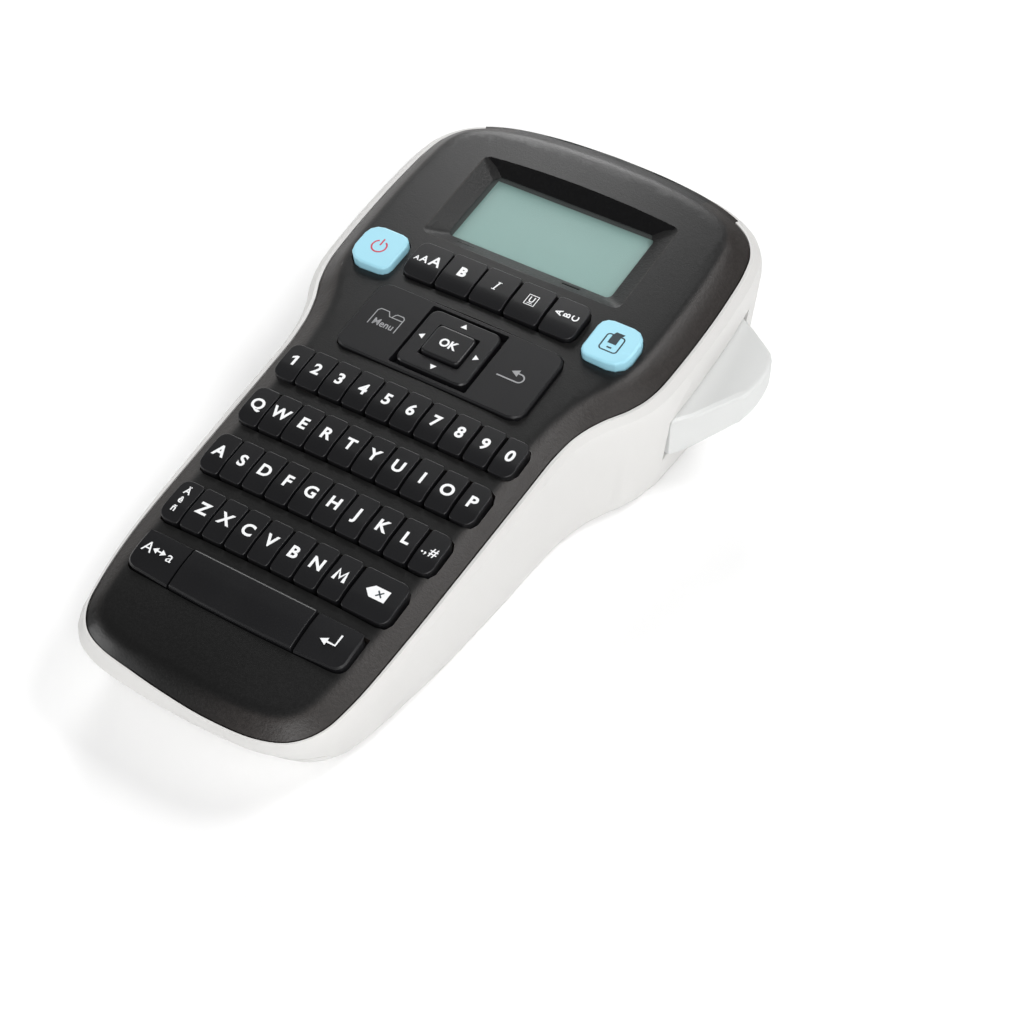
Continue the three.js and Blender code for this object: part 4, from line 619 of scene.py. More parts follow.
@dataclass(frozen=True)
class Outline:
    """The closed outline of the case, seen square to the face, through given points."""

    half_width: float = 52.9
    length: float = 207.4
    near_end: float = -98.0
    samples: int = 62
    shares: tuple[tuple[float, float], ...] = (
        (0.0, 1.0), (0.378, 0.9966), (0.624, 0.9884), (0.781, 0.976), (0.883, 0.9595), (0.949, 0.9355),
        (0.981, 0.901), (0.994, 0.857), (1.0, 0.809), (0.995, 0.728), (0.975, 0.666), (0.925, 0.627),
        (0.862, 0.596), (0.807, 0.557), (0.78, 0.513), (0.773, 0.458), (0.761, 0.338), (0.745, 0.193),
        (0.72, 0.096), (0.681, 0.052), (0.595, 0.0236), (0.454, 0.0079), (0.227, 0.0015), (0.0, 0.0),
    )

    def points(self) -> list[Vector]:
        """The points all round, in millimetres of the face."""
        half = [Vector((x * self.half_width, self.near_end + y * self.length)) for x, y in self.shares]
        return half + [Vector((-point.x, point.y)) for point in reversed(half[1:-1])]

    def at(self, share: float) -> Vector:
        """A place on the smooth curve.

        Args:
            share: How far round, from 0 to 1.

        Returns:
            The place, in millimetres of the face.
        """
        points = self.points()
        place = share % 1.0 * len(points)
        index = int(place)
        part = place - index
        p0, p1, p2, p3 = (points[(index + step) % len(points)] for step in (-1, 0, 1, 2))
        d0, d1, d2 = (math.sqrt((b - a).length) for a, b in ((p0, p1), (p1, p2), (p2, p3)))
        start = ((p1 - p0) / d0 - (p2 - p0) / (d0 + d1) + (p2 - p1) / d1) * d1
        end = ((p2 - p1) / d1 - (p3 - p1) / (d1 + d2) + (p3 - p2) / d2) * d1
        square, cube = part * part, part**3
        return (
            p1
            + start * part
            + (3.0 * (p2 - p1) - 2.0 * start - end) * square
            + (2.0 * (p1 - p2) + start + end) * cube
        )

    def outward(self, share: float) -> Vector:
        """The direction square to the curve, away from the case."""
        step = 0.002
        along = self.at(share + step) - self.at(share - step)
        return Vector((-along.y, along.x)).normalized()

    def chords(self) -> list[tuple[Vector, Vector]]:
        """The straight pieces between the samples that the solids follow."""
        corners = [self.at(step / self.samples) for step in range(self.samples)]
        return list(zip(corners, corners[1:] + corners[:1]))


@dataclass
class Rounder:
    """Bends the faceted skins out to the smooth outline."""

    outline: Outline = Outline()
    reach: float = 14.0
    cuts: int = 3
    least_edge: float = 2.5
    least_shift: float = 0.03

    def __post_init__(self) -> None:
        """Works out the chords once."""
        self._chords = self.outline.chords()

    def nearest(self, place: Vector) -> tuple[float, float, Vector]:
        """The nearest chord point.

        Args:
            place: A place in the face.

        Returns:
            Its distance, its share of the way round, and how far the smooth curve lies from the chord there.
        """
        best = (1e9, 0, 0.0)
        for index, (start, end) in enumerate(self._chords):
            along = end - start
            part = min(1.0, max(0.0, (place - start).dot(along) / along.length_squared))
            away = (place - start - along * part).length
            if away < best[0]:
                best = (away, index, part)
        away, index, part = best
        start, end = self._chords[index]
        chord = start + (end - start) * part
        share = (index + part) / self.outline.samples
        return away, share, self.outline.at(share) - chord

    def bend(self, work: bmesh.types.BMesh) -> None:
        """Divides the edges that run along the outline and moves their new points outward."""
        back = FACE.inverse()
        flat = {vertex: (back @ vertex.co).to_2d() for vertex in work.verts}
        chosen = []
        for edge in work.edges:
            first, last = (flat[vertex] for vertex in edge.verts)
            if (last - first).length < self.least_edge:
                continue
            away, _, shift = self.nearest((first + last) / 2.0)
            if away < self.reach and shift.length > self.least_shift:
                chosen.append(edge)
        bmesh.ops.subdivide_edges(work, edges=chosen, cuts=self.cuts, use_grid_fill=True)
        turn = FACE.matrix().to_3x3()
        for vertex in work.verts:
            away, _, shift = self.nearest((back @ vertex.co).to_2d())
            if away < self.reach:
                vertex.co += turn @ (shift * (1.0 - away / self.reach)).to_3d()


def slice_work(work: bmesh.types.BMesh, place: Vector, square_to: Vector, dist: float = 0.0) -> None:
    """Cuts mesh work along a plane and keeps both sides.

    Args:
        work: The mesh work.
        place: A point of the plane.
        square_to: The plane's normal.
        dist: How near a vertex counts as on the plane.
    """
    parts = work.verts[:] + work.edges[:] + work.faces[:]
    bmesh.ops.bisect_plane(work, geom=parts, dist=dist, plane_co=place, plane_no=square_to)


def bevel_edges(
    work: bmesh.types.BMesh, edges: list[bmesh.types.BMEdge], offset: float, segments: int
) -> None:
    """Rounds edges of mesh work to a true quarter circle."""
    bmesh.ops.bevel(work, geom=edges, offset=offset, segments=segments, profile=0.5, affect="EDGES")


def grid(work: bmesh.types.BMesh, pitch: float, half: float, near: float, far: float) -> None:
    """Cuts a skin into small squares, so that its shading follows its curve.

    Args:
        work: The mesh work, in metres of the object's frame.
        pitch: The squares' side, in millimetres.
        half: How far the cuts reach to each side.
        near: Where they start along the face.
        far: Where they end.
    """
    turn = FACE.matrix().to_3x3().normalized()
    beside = int(half / pitch)
    cuts = [((1.0, 0.0, 0.0), (step * pitch, 0.0)) for step in range(-beside, beside + 1)]
    cuts += [((0.0, 1.0, 0.0), (0.0, near + step * pitch)) for step in range(int((far - near) / pitch) + 1)]
    for direction, (x, along) in cuts:
        slice_work(work, FACE.matrix() @ Vector((x, along, 0.0)), turn @ Vector(direction), 1e-7)


def ease(value: float, low: float, high: float) -> float:
    """A smooth step from 0 at low to 1 at high."""
    share = min(1.0, max(0.0, (value - low) / (high - low)))
    return share * share * (3.0 - 2.0 * share)


@dataclass
class Polish:
    """Gives a skin the shading of the smooth surface that its facets follow."""

    rounder: Rounder
    band: float = 8.5
    handle_slope: float = 29.0
    head_slope: float = 42.0
    far_slope: float = 25.0
    same: float = 0.94
    same_in_band: float = 0.78
    same_on_wall: float = 0.85
    same_beside: float = 0.93
    rounds: int = 6
    head_along: tuple[float, float] = (12.0, 42.0)
    far_facing: tuple[float, float] = (0.45, 0.95)
    full_slope_at: float = 0.7
    wall_reach: float = 26.0
    steepest_top: float = 0.97
    least_outward: float = 0.86

    def bake(self, thing: bpy.types.Object) -> bpy.types.Mesh:
        """Applies a piece's modifiers and returns its mesh."""
        shown = thing.evaluated_get(bpy.context.evaluated_depsgraph_get())
        mesh = bpy.data.meshes.new_from_object(shown)
        old = thing.data
        thing.modifiers.clear()
        thing.data = mesh
        bpy.data.meshes.remove(old)
        return mesh

    def cover(self, thing: bpy.types.Object) -> None:
        """Shades the cover's crowned plate and the band that falls to the outline."""
        mesh = self.bake(thing)
        back = FACE.inverse()
        turn = Matrix.Rotation(FACE.tilt, 3, "X")
        places = [back @ vertex.co for vertex in mesh.vertices]
        ideal = [turn @ self._top_normal(place) for place in places]
        in_band = [self.rounder.nearest(place.to_2d())[0] < self.band for place in places]
        needed = [self.same_in_band if inside else self.same for inside in in_band]
        normals = [corner.vector.copy() for corner in mesh.corner_normals]
        for polygon in mesh.polygons:
            for loop in polygon.loop_indices:
                index = mesh.loops[loop].vertex_index
                if polygon.normal.dot(ideal[index]) > needed[index]:
                    normals[loop] = ideal[index]
        mesh.normals_split_custom_set(normals)

    def _top_normal(self, place: Vector) -> Vector:
        """The normal of the smooth top at a place in the face."""
        away, share, _ = self.rounder.nearest(place.to_2d())
        head = ease(place.y, *self.head_along)
        outward = self.rounder.outline.outward(share)
        slope = self.handle_slope + (self.head_slope - self.handle_slope) * head
        slope += (self.far_slope - slope) * head * ease(outward.y, *self.far_facing)
        outward *= math.tan(math.radians(slope) * ease(self.band - away, 0.0, self.band * self.full_slope_at))
        return Vector((place.x / FACE.crown + outward.x, outward.y, 1.0)).normalized()

    def wall(self, thing: bpy.types.Object) -> None:
        """Calms the shading of the outer walls and turns it square to the smooth outline."""
        mesh = self.bake(thing)
        back = FACE.inverse()
        turn = Matrix.Rotation(FACE.tilt, 3, "X")
        outward = []
        for vertex in mesh.vertices:
            away, share, _ = self.rounder.nearest((back @ vertex.co).to_2d())
            near = away < self.wall_reach
            outward.append(turn @ self.rounder.outline.outward(share).to_3d() if near else None)
        walls = [polygon for polygon in mesh.polygons if self._is_wall(polygon, outward)]
        calm = self._calmed(walls)
        normals = [corner.vector.copy() for corner in mesh.corner_normals]
        for polygon in walls:
            for loop in polygon.loop_indices:
                index = mesh.loops[loop].vertex_index
                wanted = calm[index]
                level = Vector((wanted.x, wanted.y, 0.0)).length
                facing = Vector((outward[index].x, outward[index].y, 0.0)).normalized()
                wanted = Vector((facing.x * level, facing.y * level, wanted.z))
                if polygon.normal.dot(wanted) > self.same_on_wall:
                    normals[loop] = wanted
        mesh.normals_split_custom_set(normals)

    def _is_wall(self, polygon: bpy.types.MeshPolygon, outward: list[Optional[Vector]]) -> bool:
        """Whether a face belongs to the outer walls."""
        facing = outward[polygon.vertices[0]]
        if facing is None or abs(polygon.normal.z) > self.steepest_top:
            return False
        level = Vector((polygon.normal.x, polygon.normal.y)).normalized()
        return level.dot(facing.to_2d().normalized()) > self.least_outward

    def _calmed(self, walls: list[bpy.types.MeshPolygon]) -> dict[int, Vector]:
        """The walls' vertex normals, each averaged with its neighbours that face nearly the same way."""
        total: dict[int, Vector] = {}
        beside: dict[int, set[int]] = {}
        for polygon in walls:
            ring = list(polygon.vertices)
            for step, index in enumerate(ring):
                total[index] = total.get(index, Vector()) + polygon.normal * polygon.area
                beside.setdefault(index, set()).update((ring[step - 1], ring[(step + 1) % len(ring)]))
        calm = {index: normal.normalized() for index, normal in total.items()}
        for _ in range(self.rounds):
            last, calm = calm, {}
            for index, normal in last.items():
                alike = (last[other] for other in beside[index] if last[other].dot(normal) > self.same_beside)
                calm[index] = sum(alike, normal * 1.0).normalized()
        return calm


# ---- Mesh work ----


def settle(
    name: str, work: bmesh.types.BMesh, body: str, finish: Finish, smooth: float = 35.0
) -> bpy.types.Object:
    """Turns finished mesh work into a piece that rides on a body.

    Args:
        name: The piece's name.
        work: The mesh work, in metres of the object's frame; it is freed.
        body: The body that it moves with.
        finish: Its finish.
        smooth: The angle in degrees over which an edge stays sharp.

    Returns:
        The piece.
    """
    mesh = bpy.data.meshes.new(name)
    work.to_mesh(mesh)
    work.free()
    mesh.polygons.foreach_set("use_smooth", [True] * len(mesh.polygons))
    mesh.set_sharp_from_angle(angle=math.radians(smooth))
    thing = bpy.data.objects.new(name, mesh)
    bpy.context.scene.collection.objects.link(thing)
    PAINT.paint(thing, finish)
    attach(thing, body)
    return thing


def copied(node: str) -> bmesh.types.BMesh:
    """The merged mesh of a CAD node, its flat faces joined."""
    work = bmesh.new()
    work.from_mesh(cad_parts[node].data)
    bmesh.ops.remove_doubles(work, verts=work.verts, dist=0.002 * MM)
    bmesh.ops.dissolve_limit(work, angle_limit=math.radians(0.1), verts=work.verts, edges=work.edges)
    return work


def flatten(thing: bpy.types.Object) -> None:
    """Lets a piece's large faces set the shading of the small ones beside them."""
    weighted = thing.modifiers.new("flat_faces", "WEIGHTED_NORMAL")
    weighted.mode = "FACE_AREA_WITH_ANGLE"
    weighted.weight = WEIGHT_OF_AREA


def round_edges(thing: bpy.types.Object, width: float, segments: int) -> None:
    """Rounds a piece's edges and keeps its flat faces flat.

    Args:
        thing: The piece.
        width: The rounding, in millimetres.
        segments: Faces across it.
    """
    bevel = thing.modifiers.new("edge_rounding", "BEVEL")
    bevel.width = width * MM
    bevel.segments = segments
    bevel.limit_method = "ANGLE"
    bevel.angle_limit = LEAST_ROUNDED
    bevel.use_clamp_overlap = True
    flatten(thing)


def refined(
    node: str, name: str, body: str, finish: Finish, width: float, segments: int
) -> bpy.types.Object:
    """A smooth, edge-rounded copy of a CAD node that stands in its place.

    Args:
        node: The CAD node.
        name: The copy's name.
        body: The body that it moves with.
        finish: Its finish.
        width: The rounding of its edges, in millimetres.
        segments: Faces across the rounding.

    Returns:
        The piece.
    """
    thing = settle(name, copied(node), body, finish, 30.0)
    round_edges(thing, width, segments)
    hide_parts(node)
    return thing


def skin(
    node: str,
    body: str,
    finish: Finish,
    rounder: Rounder,
    change: Callable[[bmesh.types.BMesh], None],
    width: float,
) -> bpy.types.Object:
    """A copy of a skin of the case, bent out to the smooth outline and edge-rounded.

    Args:
        node: The CAD node.
        body: The body that it moves with.
        finish: Its finish.
        rounder: What bends it.
        change: A change of its form.
        width: The rounding of its edges, in millimetres.

    Returns:
        The piece.
    """
    work = copied(node)
    rounder.bend(work)
    change(work)
    thing = settle(node + "_skin", work, body, finish, 30.0)
    round_edges(thing, width, 2)
    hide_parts(node)
    return thing


def settle_key(name: str, work: bmesh.types.BMesh, node: str) -> None:
    """Turns key work in face millimetres into the piece that stands in a key node's place."""
    bmesh.ops.transform(work, matrix=FACE.matrix(), verts=work.verts)
    piece = settle(name, work, node, Finish.KEY, 60.0)
    flatten(piece)
    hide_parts(node)


def add_bar(
    work: bmesh.types.BMesh, size: tuple[float, float, float], turn: Matrix
) -> list[bmesh.types.BMVert]:
    """Adds a turned bar about the origin and returns its vertices."""
    bar = bmesh.ops.create_cube(work, size=1.0)["verts"]
    bmesh.ops.scale(work, vec=size, verts=bar)
    bmesh.ops.rotate(work, verts=bar, cent=(0, 0, 0), matrix=turn)
    return bar


def dress(finish: Finish, *nodes: str) -> None:
    """Gives CAD nodes that stay a finish."""
    for node in nodes:
        PAINT.paint(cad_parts[node], finish)


@dataclass
class Legends:
    """White, grey or coloured marks on keys, gathered into one piece per key body."""

    name: str
    body: str
    finish: Finish
    thickness: float = 0.05
    lift: float = 0.01
    work: bmesh.types.BMesh = field(default_factory=bmesh.new)

    def _take(self, mesh: bpy.types.Mesh, matrix: Matrix) -> None:
        """Adds a mesh, moved by a matrix from face millimetres.

        Args:
            mesh: The mesh, which is removed.
            matrix: Its place in the face, in millimetres.
        """
        before = set(self.work.verts)
        self.work.from_mesh(mesh)
        new = [vertex for vertex in self.work.verts if vertex not in before]
        bmesh.ops.transform(self.work, matrix=FACE.matrix() @ matrix, verts=new)
        bpy.data.meshes.remove(mesh)

    @staticmethod
    def _mesh_of(thing: bpy.types.Object) -> bpy.types.Mesh:
        """The mesh that a curve or text object shows; the object is removed."""
        bpy.context.scene.collection.objects.link(thing)
        shown = thing.evaluated_get(bpy.context.evaluated_depsgraph_get())
        mesh = bpy.data.meshes.new_from_object(shown)
        data = thing.data
        bpy.data.objects.remove(thing)
        bpy.data.curves.remove(data)
        return mesh

    @staticmethod
    def _raise(flat: bmesh.types.BMesh, height: float, mesh: bpy.types.Mesh) -> None:
        """Gives flat work a thickness, writes it to a mesh and frees it."""
        raised = bmesh.ops.extrude_face_region(flat, geom=flat.faces[:])
        tops = [part for part in raised["geom"] if isinstance(part, bmesh.types.BMVert)]
        bmesh.ops.translate(flat, verts=tops, vec=(0.0, 0.0, height))
        bmesh.ops.recalc_face_normals(flat, faces=flat.faces)
        flat.to_mesh(mesh)
        flat.free()

    def text(
        self,
        words: str,
        x: float,
        along: float,
        cap: float,
        weight: float,
        turn: float = 0.0,
        height: Optional[float] = None,
        narrow: float = 1.0,
    ) -> None:
        """Adds letters or digits centred on a place.

        Args:
            words: What to write.
            x: The middle across.
            along: The middle of the capitals' height.
            cap: The capitals' height in millimetres.
            weight: How much the strokes are thickened.
            turn: A turn about the face's normal, in degrees.
            height: The height of the surface, if it isn't a key's top.
            narrow: The width's share of the plain width.
        """
        curve = bpy.data.curves.new(self.name, "FONT")
        curve.body = words
        curve.align_x = "CENTER"
        curve.offset = weight
        curve.resolution_u = 4
        mesh = self._mesh_of(bpy.data.objects.new(self.name, curve))
        scale = cap / CAP_SHARE
        level = FACE.key_top(x) if height is None else height
        flat = bmesh.new()
        flat.from_mesh(mesh)
        bmesh.ops.remove_doubles(flat, verts=flat.verts, dist=1e-5)
        bmesh.ops.translate(flat, verts=flat.verts, vec=(0.0, -CAP_SHARE / 2.0, 0.0))
        self._raise(flat, self.thickness / scale, mesh)
        place = Matrix.Translation((x, along, level + self.lift))
        place = place @ Matrix.Rotation(math.radians(turn), 4, "Z")
        self._take(mesh, place @ Matrix.Diagonal((scale * narrow, scale, scale, 1.0)))

    def line(
        self, points: Sequence[tuple[float, float]], width: float, height: float, closed: bool = False
    ) -> None:
        """Adds a printed line of one width.

        Args:
            points: Places in the face, in millimetres.
            width: The line's width.
            height: The height of the surface.
            closed: Whether the last point joins the first.
        """
        curve = bpy.data.curves.new(self.name, "CURVE")
        curve.dimensions = "3D"
        curve.bevel_depth = width / 2.0
        curve.bevel_resolution = 1
        curve.use_fill_caps = True
        spline = curve.splines.new("POLY")
        spline.points.add(len(points) - 1)
        for point, (x, y) in zip(spline.points, points):
            point.co = (x, y, 0.0, 1.0)
        spline.use_cyclic_u = closed
        mesh = self._mesh_of(bpy.data.objects.new(self.name, curve))
        squash = Matrix.Diagonal((1.0, 1.0, self.thickness / width, 1.0))
        self._take(mesh, Matrix.Translation((0.0, 0.0, height + self.thickness / 2.0)) @ squash)

    def patch(self, corners: Sequence[tuple[float, float]], height: float) -> None:
        """Adds a filled shape.

        Args:
            corners: Its corners in order, in millimetres of the face.
            height: The height of the surface.
        """
        flat = bmesh.new()
        flat.faces.new([flat.verts.new((x, y, height + self.lift)) for x, y in corners])
        mesh = bpy.data.meshes.new(self.name)
        self._raise(flat, self.thickness, mesh)
        self._take(mesh, Matrix.Identity(4))

    def finish_up(self) -> bpy.types.Object:
        """Makes the piece."""
        return settle(self.name, self.work, self.body, self.finish, 40.0)


def cap_share() -> float:
    """The height of a capital letter in the built-in typeface, as a share of its size."""
    curve = bpy.data.curves.new("measure", "FONT")
    curve.body = "H"
    mesh = Legends._mesh_of(bpy.data.objects.new("measure", curve))
    height = max(vertex.co.y for vertex in mesh.vertices)
    bpy.data.meshes.remove(mesh)
    return height


CAP_SHARE = cap_share()


def arc(
    x: float, y: float, radius: float, start: float, end: float, steps: int
) -> list[tuple[float, float]]:
    """Points on a circle from one angle to another, in degrees."""
    angles = [math.radians(start + (end - start) * step / steps) for step in range(steps + 1)]
    return [(x + radius * math.cos(angle), y + radius * math.sin(angle)) for angle in angles]


def moved(
    shape: Sequence[tuple[float, float]], x: float, y: float
) -> list[tuple[float, float]]:
    """A flat shape drawn about the origin, moved to a place."""
    return [(x + across, y + up) for across, up in shape]


# ---- Keys ----


@dataclass(frozen=True)
class KeyForm:
    """One pressed key: upright sides, a flat upper part, and a front that rolls down to its near edge."""

    x0: float
    x1: float
    near: float
    far: float
    left_corner: float = 0.9
    right_corner: float = 0.9
    bottom: float = -6.4
    roll_share: float = 0.42
    roll_drop: float = 0.9
    rounding: float = 0.26

    def build(self) -> bmesh.types.BMesh:
        """Builds the key in face millimetres."""
        work = bmesh.new()
        top = FACE.key_top((self.x0 + self.x1) / 2.0)
        bmesh.ops.create_cube(work, size=1.0)
        size = Vector((self.x1 - self.x0, self.far - self.near, top - self.bottom))
        middle = Vector((self.x0 + self.x1, self.near + self.far, top + self.bottom)) / 2.0
        bmesh.ops.scale(work, vec=size, verts=work.verts)
        bmesh.ops.translate(work, vec=middle, verts=work.verts)
        for side, radius in ((-1, self.left_corner), (1, self.right_corner)):
            upright = [
                edge
                for edge in work.edges
                if abs(edge.verts[0].co.z - edge.verts[1].co.z) > 1.0
                and (edge.verts[0].co.x - middle.x) * side > size.x / 2.0 - 0.01
            ]
            bevel_edges(work, upright, radius, 4 if radius > 1 else 2)
        self._roll(work, top)
        rim = [edge for edge in work.edges if self._is_rim(edge, top)]
        bevel_edges(work, rim, self.rounding, 3)
        return work

    def _roll(self, work: bmesh.types.BMesh, top: float) -> None:
        """Cuts the top across and lowers it towards the near edge."""
        start = self.near + (self.far - self.near) * self.roll_share
        for step in range(3):
            line = start + (self.near + self.left_corner / 2.0 - start) * step / 3.0
            slice_work(work, (0.0, line, 0.0), (0.0, 1.0, 0.0))
        for vertex in work.verts:
            if vertex.co.z > top - 0.01 and vertex.co.y < start:
                share = (start - vertex.co.y) / (start - self.near)
                vertex.co.z -= self.roll_drop * share**ROLL_CURVE

    def _is_rim(self, edge: bmesh.types.BMEdge, top: float) -> bool:
        """Whether an edge runs round the key's top."""
        if min(vertex.co.z for vertex in edge.verts) < top - self.roll_drop - 0.1:
            return False
        return len(edge.link_faces) == 2 and edge.calc_face_angle(0.0) > math.radians(50)


@dataclass(frozen=True)
class KeySpan:
    """Keys of one width side by side, with a larger corner at each end of the row."""

    near: float
    far: float
    half: float
    count: int = 10
    gap: float = 0.7
    end_corner: float = 2.6
    corner: float = 0.9

    def place(self, index: int) -> tuple[float, float]:
        """The left and right side of one key."""
        pitch = (2.0 * self.half + self.gap) / self.count
        left = -self.half + index * pitch
        return left, left + pitch - self.gap

    def along(self, share: float) -> float:
        """A place between the keys' near and far edges."""
        return self.near + (self.far - self.near) * share

    def form(self, index: int) -> bmesh.types.BMesh:
        """Builds one key in face millimetres."""
        left, right = self.place(index)
        first, last = (self.end_corner if index == end else self.corner for end in (0, self.count - 1))
        return KeyForm(left, right, self.near, self.far, first, last).build()


@dataclass
class KeyRow:
    """A row of keys in one strip, with its legends."""

    node: str
    keys: KeySpan
    legends: str
    cap: float = 3.3
    mark_share: float = 0.53

    def build(self) -> None:
        """Builds the strip of keys and what is printed on them."""
        work = bmesh.new()
        marks = Legends(self.node.replace("keys", "legends"), self.node, Finish.WHITE_INK)
        for index, sign in enumerate(self.legends):
            add_work(work, self.keys.form(index))
            self._mark(marks, sign, sum(self.keys.place(index)) / 2.0)
        settle_key(self.node + "_caps", work, self.node)
        marks.finish_up()

    def _mark(self, marks: Legends, sign: str, x: float) -> None:
        """Prints one key's sign.

        Args:
            marks: Where it is gathered.
            sign: A letter or digit, or a code for a group of small signs.
            x: The key's middle.
        """
        along = self.keys.along(self.mark_share)
        if sign == "~":
            for step, glyph in enumerate("Äêñ"):
                marks.text(glyph, x - 0.1, along + 2.7 - 2.9 * step, 1.9, 0.02)
        elif sign == "#":
            for shift, glyph in ((-1.9, "."), (-1.0, ","), (0.9, "#")):
                marks.text(glyph, x + shift, along - 0.2, 2.5, 0.012)
        elif sign == "1":
            level, half = FACE.key_top(x), self.cap / 2.0
            stem = ((-0.1, half), (-0.1, -half), (0.65, -half), (0.65, half))
            flag = ((-0.1, half), (-1.05, 1.0), (-1.05, 0.4), (-0.1, 0.9))
            for shape in (stem, flag):
                marks.patch(moved(shape, x, along), level)
        elif sign == "M":
            half = self.cap / 2.0
            stroke = [(x - 1.45, along - half), (x - 1.15, along + half - 0.2), (x, along - 0.7)]
            stroke += [(2.0 * x - place, height) for place, height in reversed(stroke[:2])]
            marks.line(stroke, 0.95, FACE.key_top(x))
        else:
            marks.text(sign, x, along, self.cap, 0.03)


def add_work(target: bmesh.types.BMesh, source: bmesh.types.BMesh) -> None:
    """Moves one mesh work into another and frees it."""
    mesh = bpy.data.meshes.new("part")
    source.to_mesh(mesh)
    source.free()
    target.from_mesh(mesh)
    bpy.data.meshes.remove(mesh)


@dataclass
class Keypad:
    """All the letter, digit and bottom-row keys."""

    rows: tuple[KeyRow, ...] = (
        KeyRow("digit_keys", KeySpan(-5.95, 5.7, 37.1), "1234567890"),
        KeyRow("upper_letter_keys", KeySpan(-23.0, -10.9, 36.5), "QWERTYUIOP"),
        KeyRow("middle_letter_keys", KeySpan(-40.4, -28.1, 35.7), "ASDFGHJKL#"),
        KeyRow("lower_letter_keys", KeySpan(-57.7, -45.2, 34.8), "~ZXCVBNM"),
    )
    line: float = 0.42
    bottom_line: float = -67.0
    shift_x: float = -25.9
    return_x: float = 26.0
    backspace_line: float = -50.9
    corner: float = 2.4
    roll_from: float = -66.0
    roll_pitch: float = 2.0
    roll_drop: float = 1.3

    def build(self) -> None:
        """Builds every key below the navigation panel."""
        for row in self.rows:
            row.build()
            log.info("built %s", row.node)
        self._backspace()
        self._bottom_row()

    def _backspace(self) -> None:
        """The double-width key with its arrow-shaped tag."""
        keys = self.rows[-1].keys
        left, right = keys.place(len(self.rows[-1].legends))[0], keys.half
        work = KeyForm(left, right, keys.near, keys.far, keys.corner, keys.end_corner).build()
        settle_key("backspace_cap", work, "backspace_key")
        x, y = (left + right) / 2.0, self.backspace_line
        level = FACE.key_top(x)
        tag = Legends("backspace_tag", "backspace_key", Finish.WHITE_INK)
        shape = ((-3.3, 0.0), (-1.5, 1.75), (2.9, 1.75), (2.9, -1.75), (-1.5, -1.75))
        tag.patch(moved(shape, x, y), level)
        tag.finish_up()
        cross = Legends("backspace_cross", "backspace_key", Finish.DARK_INK)
        for sign in (-1, 1):
            cross.line([(x - 0.1, y - 0.8 * sign), (x + 1.5, y + 0.8 * sign)], 0.4, level + 0.06)
        cross.finish_up()

    def _bottom_row(self) -> None:
        """Case shift, space bar and return."""
        for node, side in (("case_shift_key", -1.0), ("space_bar", 0.0), ("return_key", 1.0)):
            work = copied(node)
            if side:
                self._round_corner(work, side)
            self._roll(work)
            piece = settle(node + "_cap", work, node, Finish.KEY, 30.0)
            round_edges(piece, 0.42 if side else 0.8, 4)
            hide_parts(node)
        x, y = self.shift_x, self.bottom_line
        level = FACE.key_top(x)
        shift = Legends("case_shift_legend", "case_shift_key", Finish.WHITE_INK)
        shift.text("A", x - 3.7, y, 3.0, 0.0, height=level)
        shift.text("a", x + 3.2, y, 3.0, 0.0, height=level)
        self._arrow(shift, (x - 2.1, y), (x + 1.5, y), level)
        shift.finish_up()
        x = self.return_x
        level = FACE.key_top(x)
        back = Legends("return_legend", "return_key", Finish.WHITE_INK)
        back.line(moved(((1.8, 2.0), (1.8, -1.2), (-1.2, -1.2)), x, y), 0.55, level)
        back.patch(moved(((-2.6, -1.2), (-0.6, -0.1), (-0.6, -2.3)), x, y), level)
        back.finish_up()

    def _round_corner(self, work: bmesh.types.BMesh, side: float) -> None:
        """Rounds the far outer corner of a key at the bottom row's end; side is its sign along x."""
        back = FACE.inverse()
        best, reach = None, -math.inf
        for edge in work.edges:
            low, high = sorted((back @ vertex.co for vertex in edge.verts), key=lambda point: point.z)
            rise = high.z - low.z
            if rise < 0.9 * (high - low).length or high.z < FACE.plate(high.x) + ABOVE_PLATE:
                continue
            if high.x * side + high.y > reach:
                best, reach = edge, high.x * side + high.y
        if best is not None:
            bevel_edges(work, [best], self.corner * MM, 5)

    def _roll(self, work: bmesh.types.BMesh) -> None:
        """Lowers a bottom-row key's top towards its near edge."""
        place, back = FACE.matrix(), FACE.inverse()
        turn = place.to_3x3().normalized()
        for step in range(4):
            line = Vector((0.0, self.roll_from - self.roll_pitch * step, 0.0))
            slice_work(work, place @ line, turn @ Vector((0.0, 1.0, 0.0)))
        for vertex in work.verts:
            point = back @ vertex.co
            if point.z > FACE.plate(point.x) + ABOVE_PLATE:
                share = min(1.0, max(0.0, (self.roll_from - point.y) / (4.0 * self.roll_pitch)))
                point.z -= self.roll_drop * share**ROLL_CURVE
                vertex.co = place @ point

    def _arrow(
        self, marks: Legends, start: tuple[float, float], end: tuple[float, float], level: float
    ) -> None:
        """Prints a level arrow with a head at each end.

        Args:
            marks: Where it is gathered.
            start: Its left end.
            end: Its right end.
            level: The height of the surface.
        """
        marks.line([start, end], self.line, level)
        for (x, y), side in ((end, -1), (start, 1)):
            head = ((1.2 * side, 0.95), (-0.2 * side, 0.0), (1.2 * side, -0.95))
            marks.patch(moved(head, x, y), level)


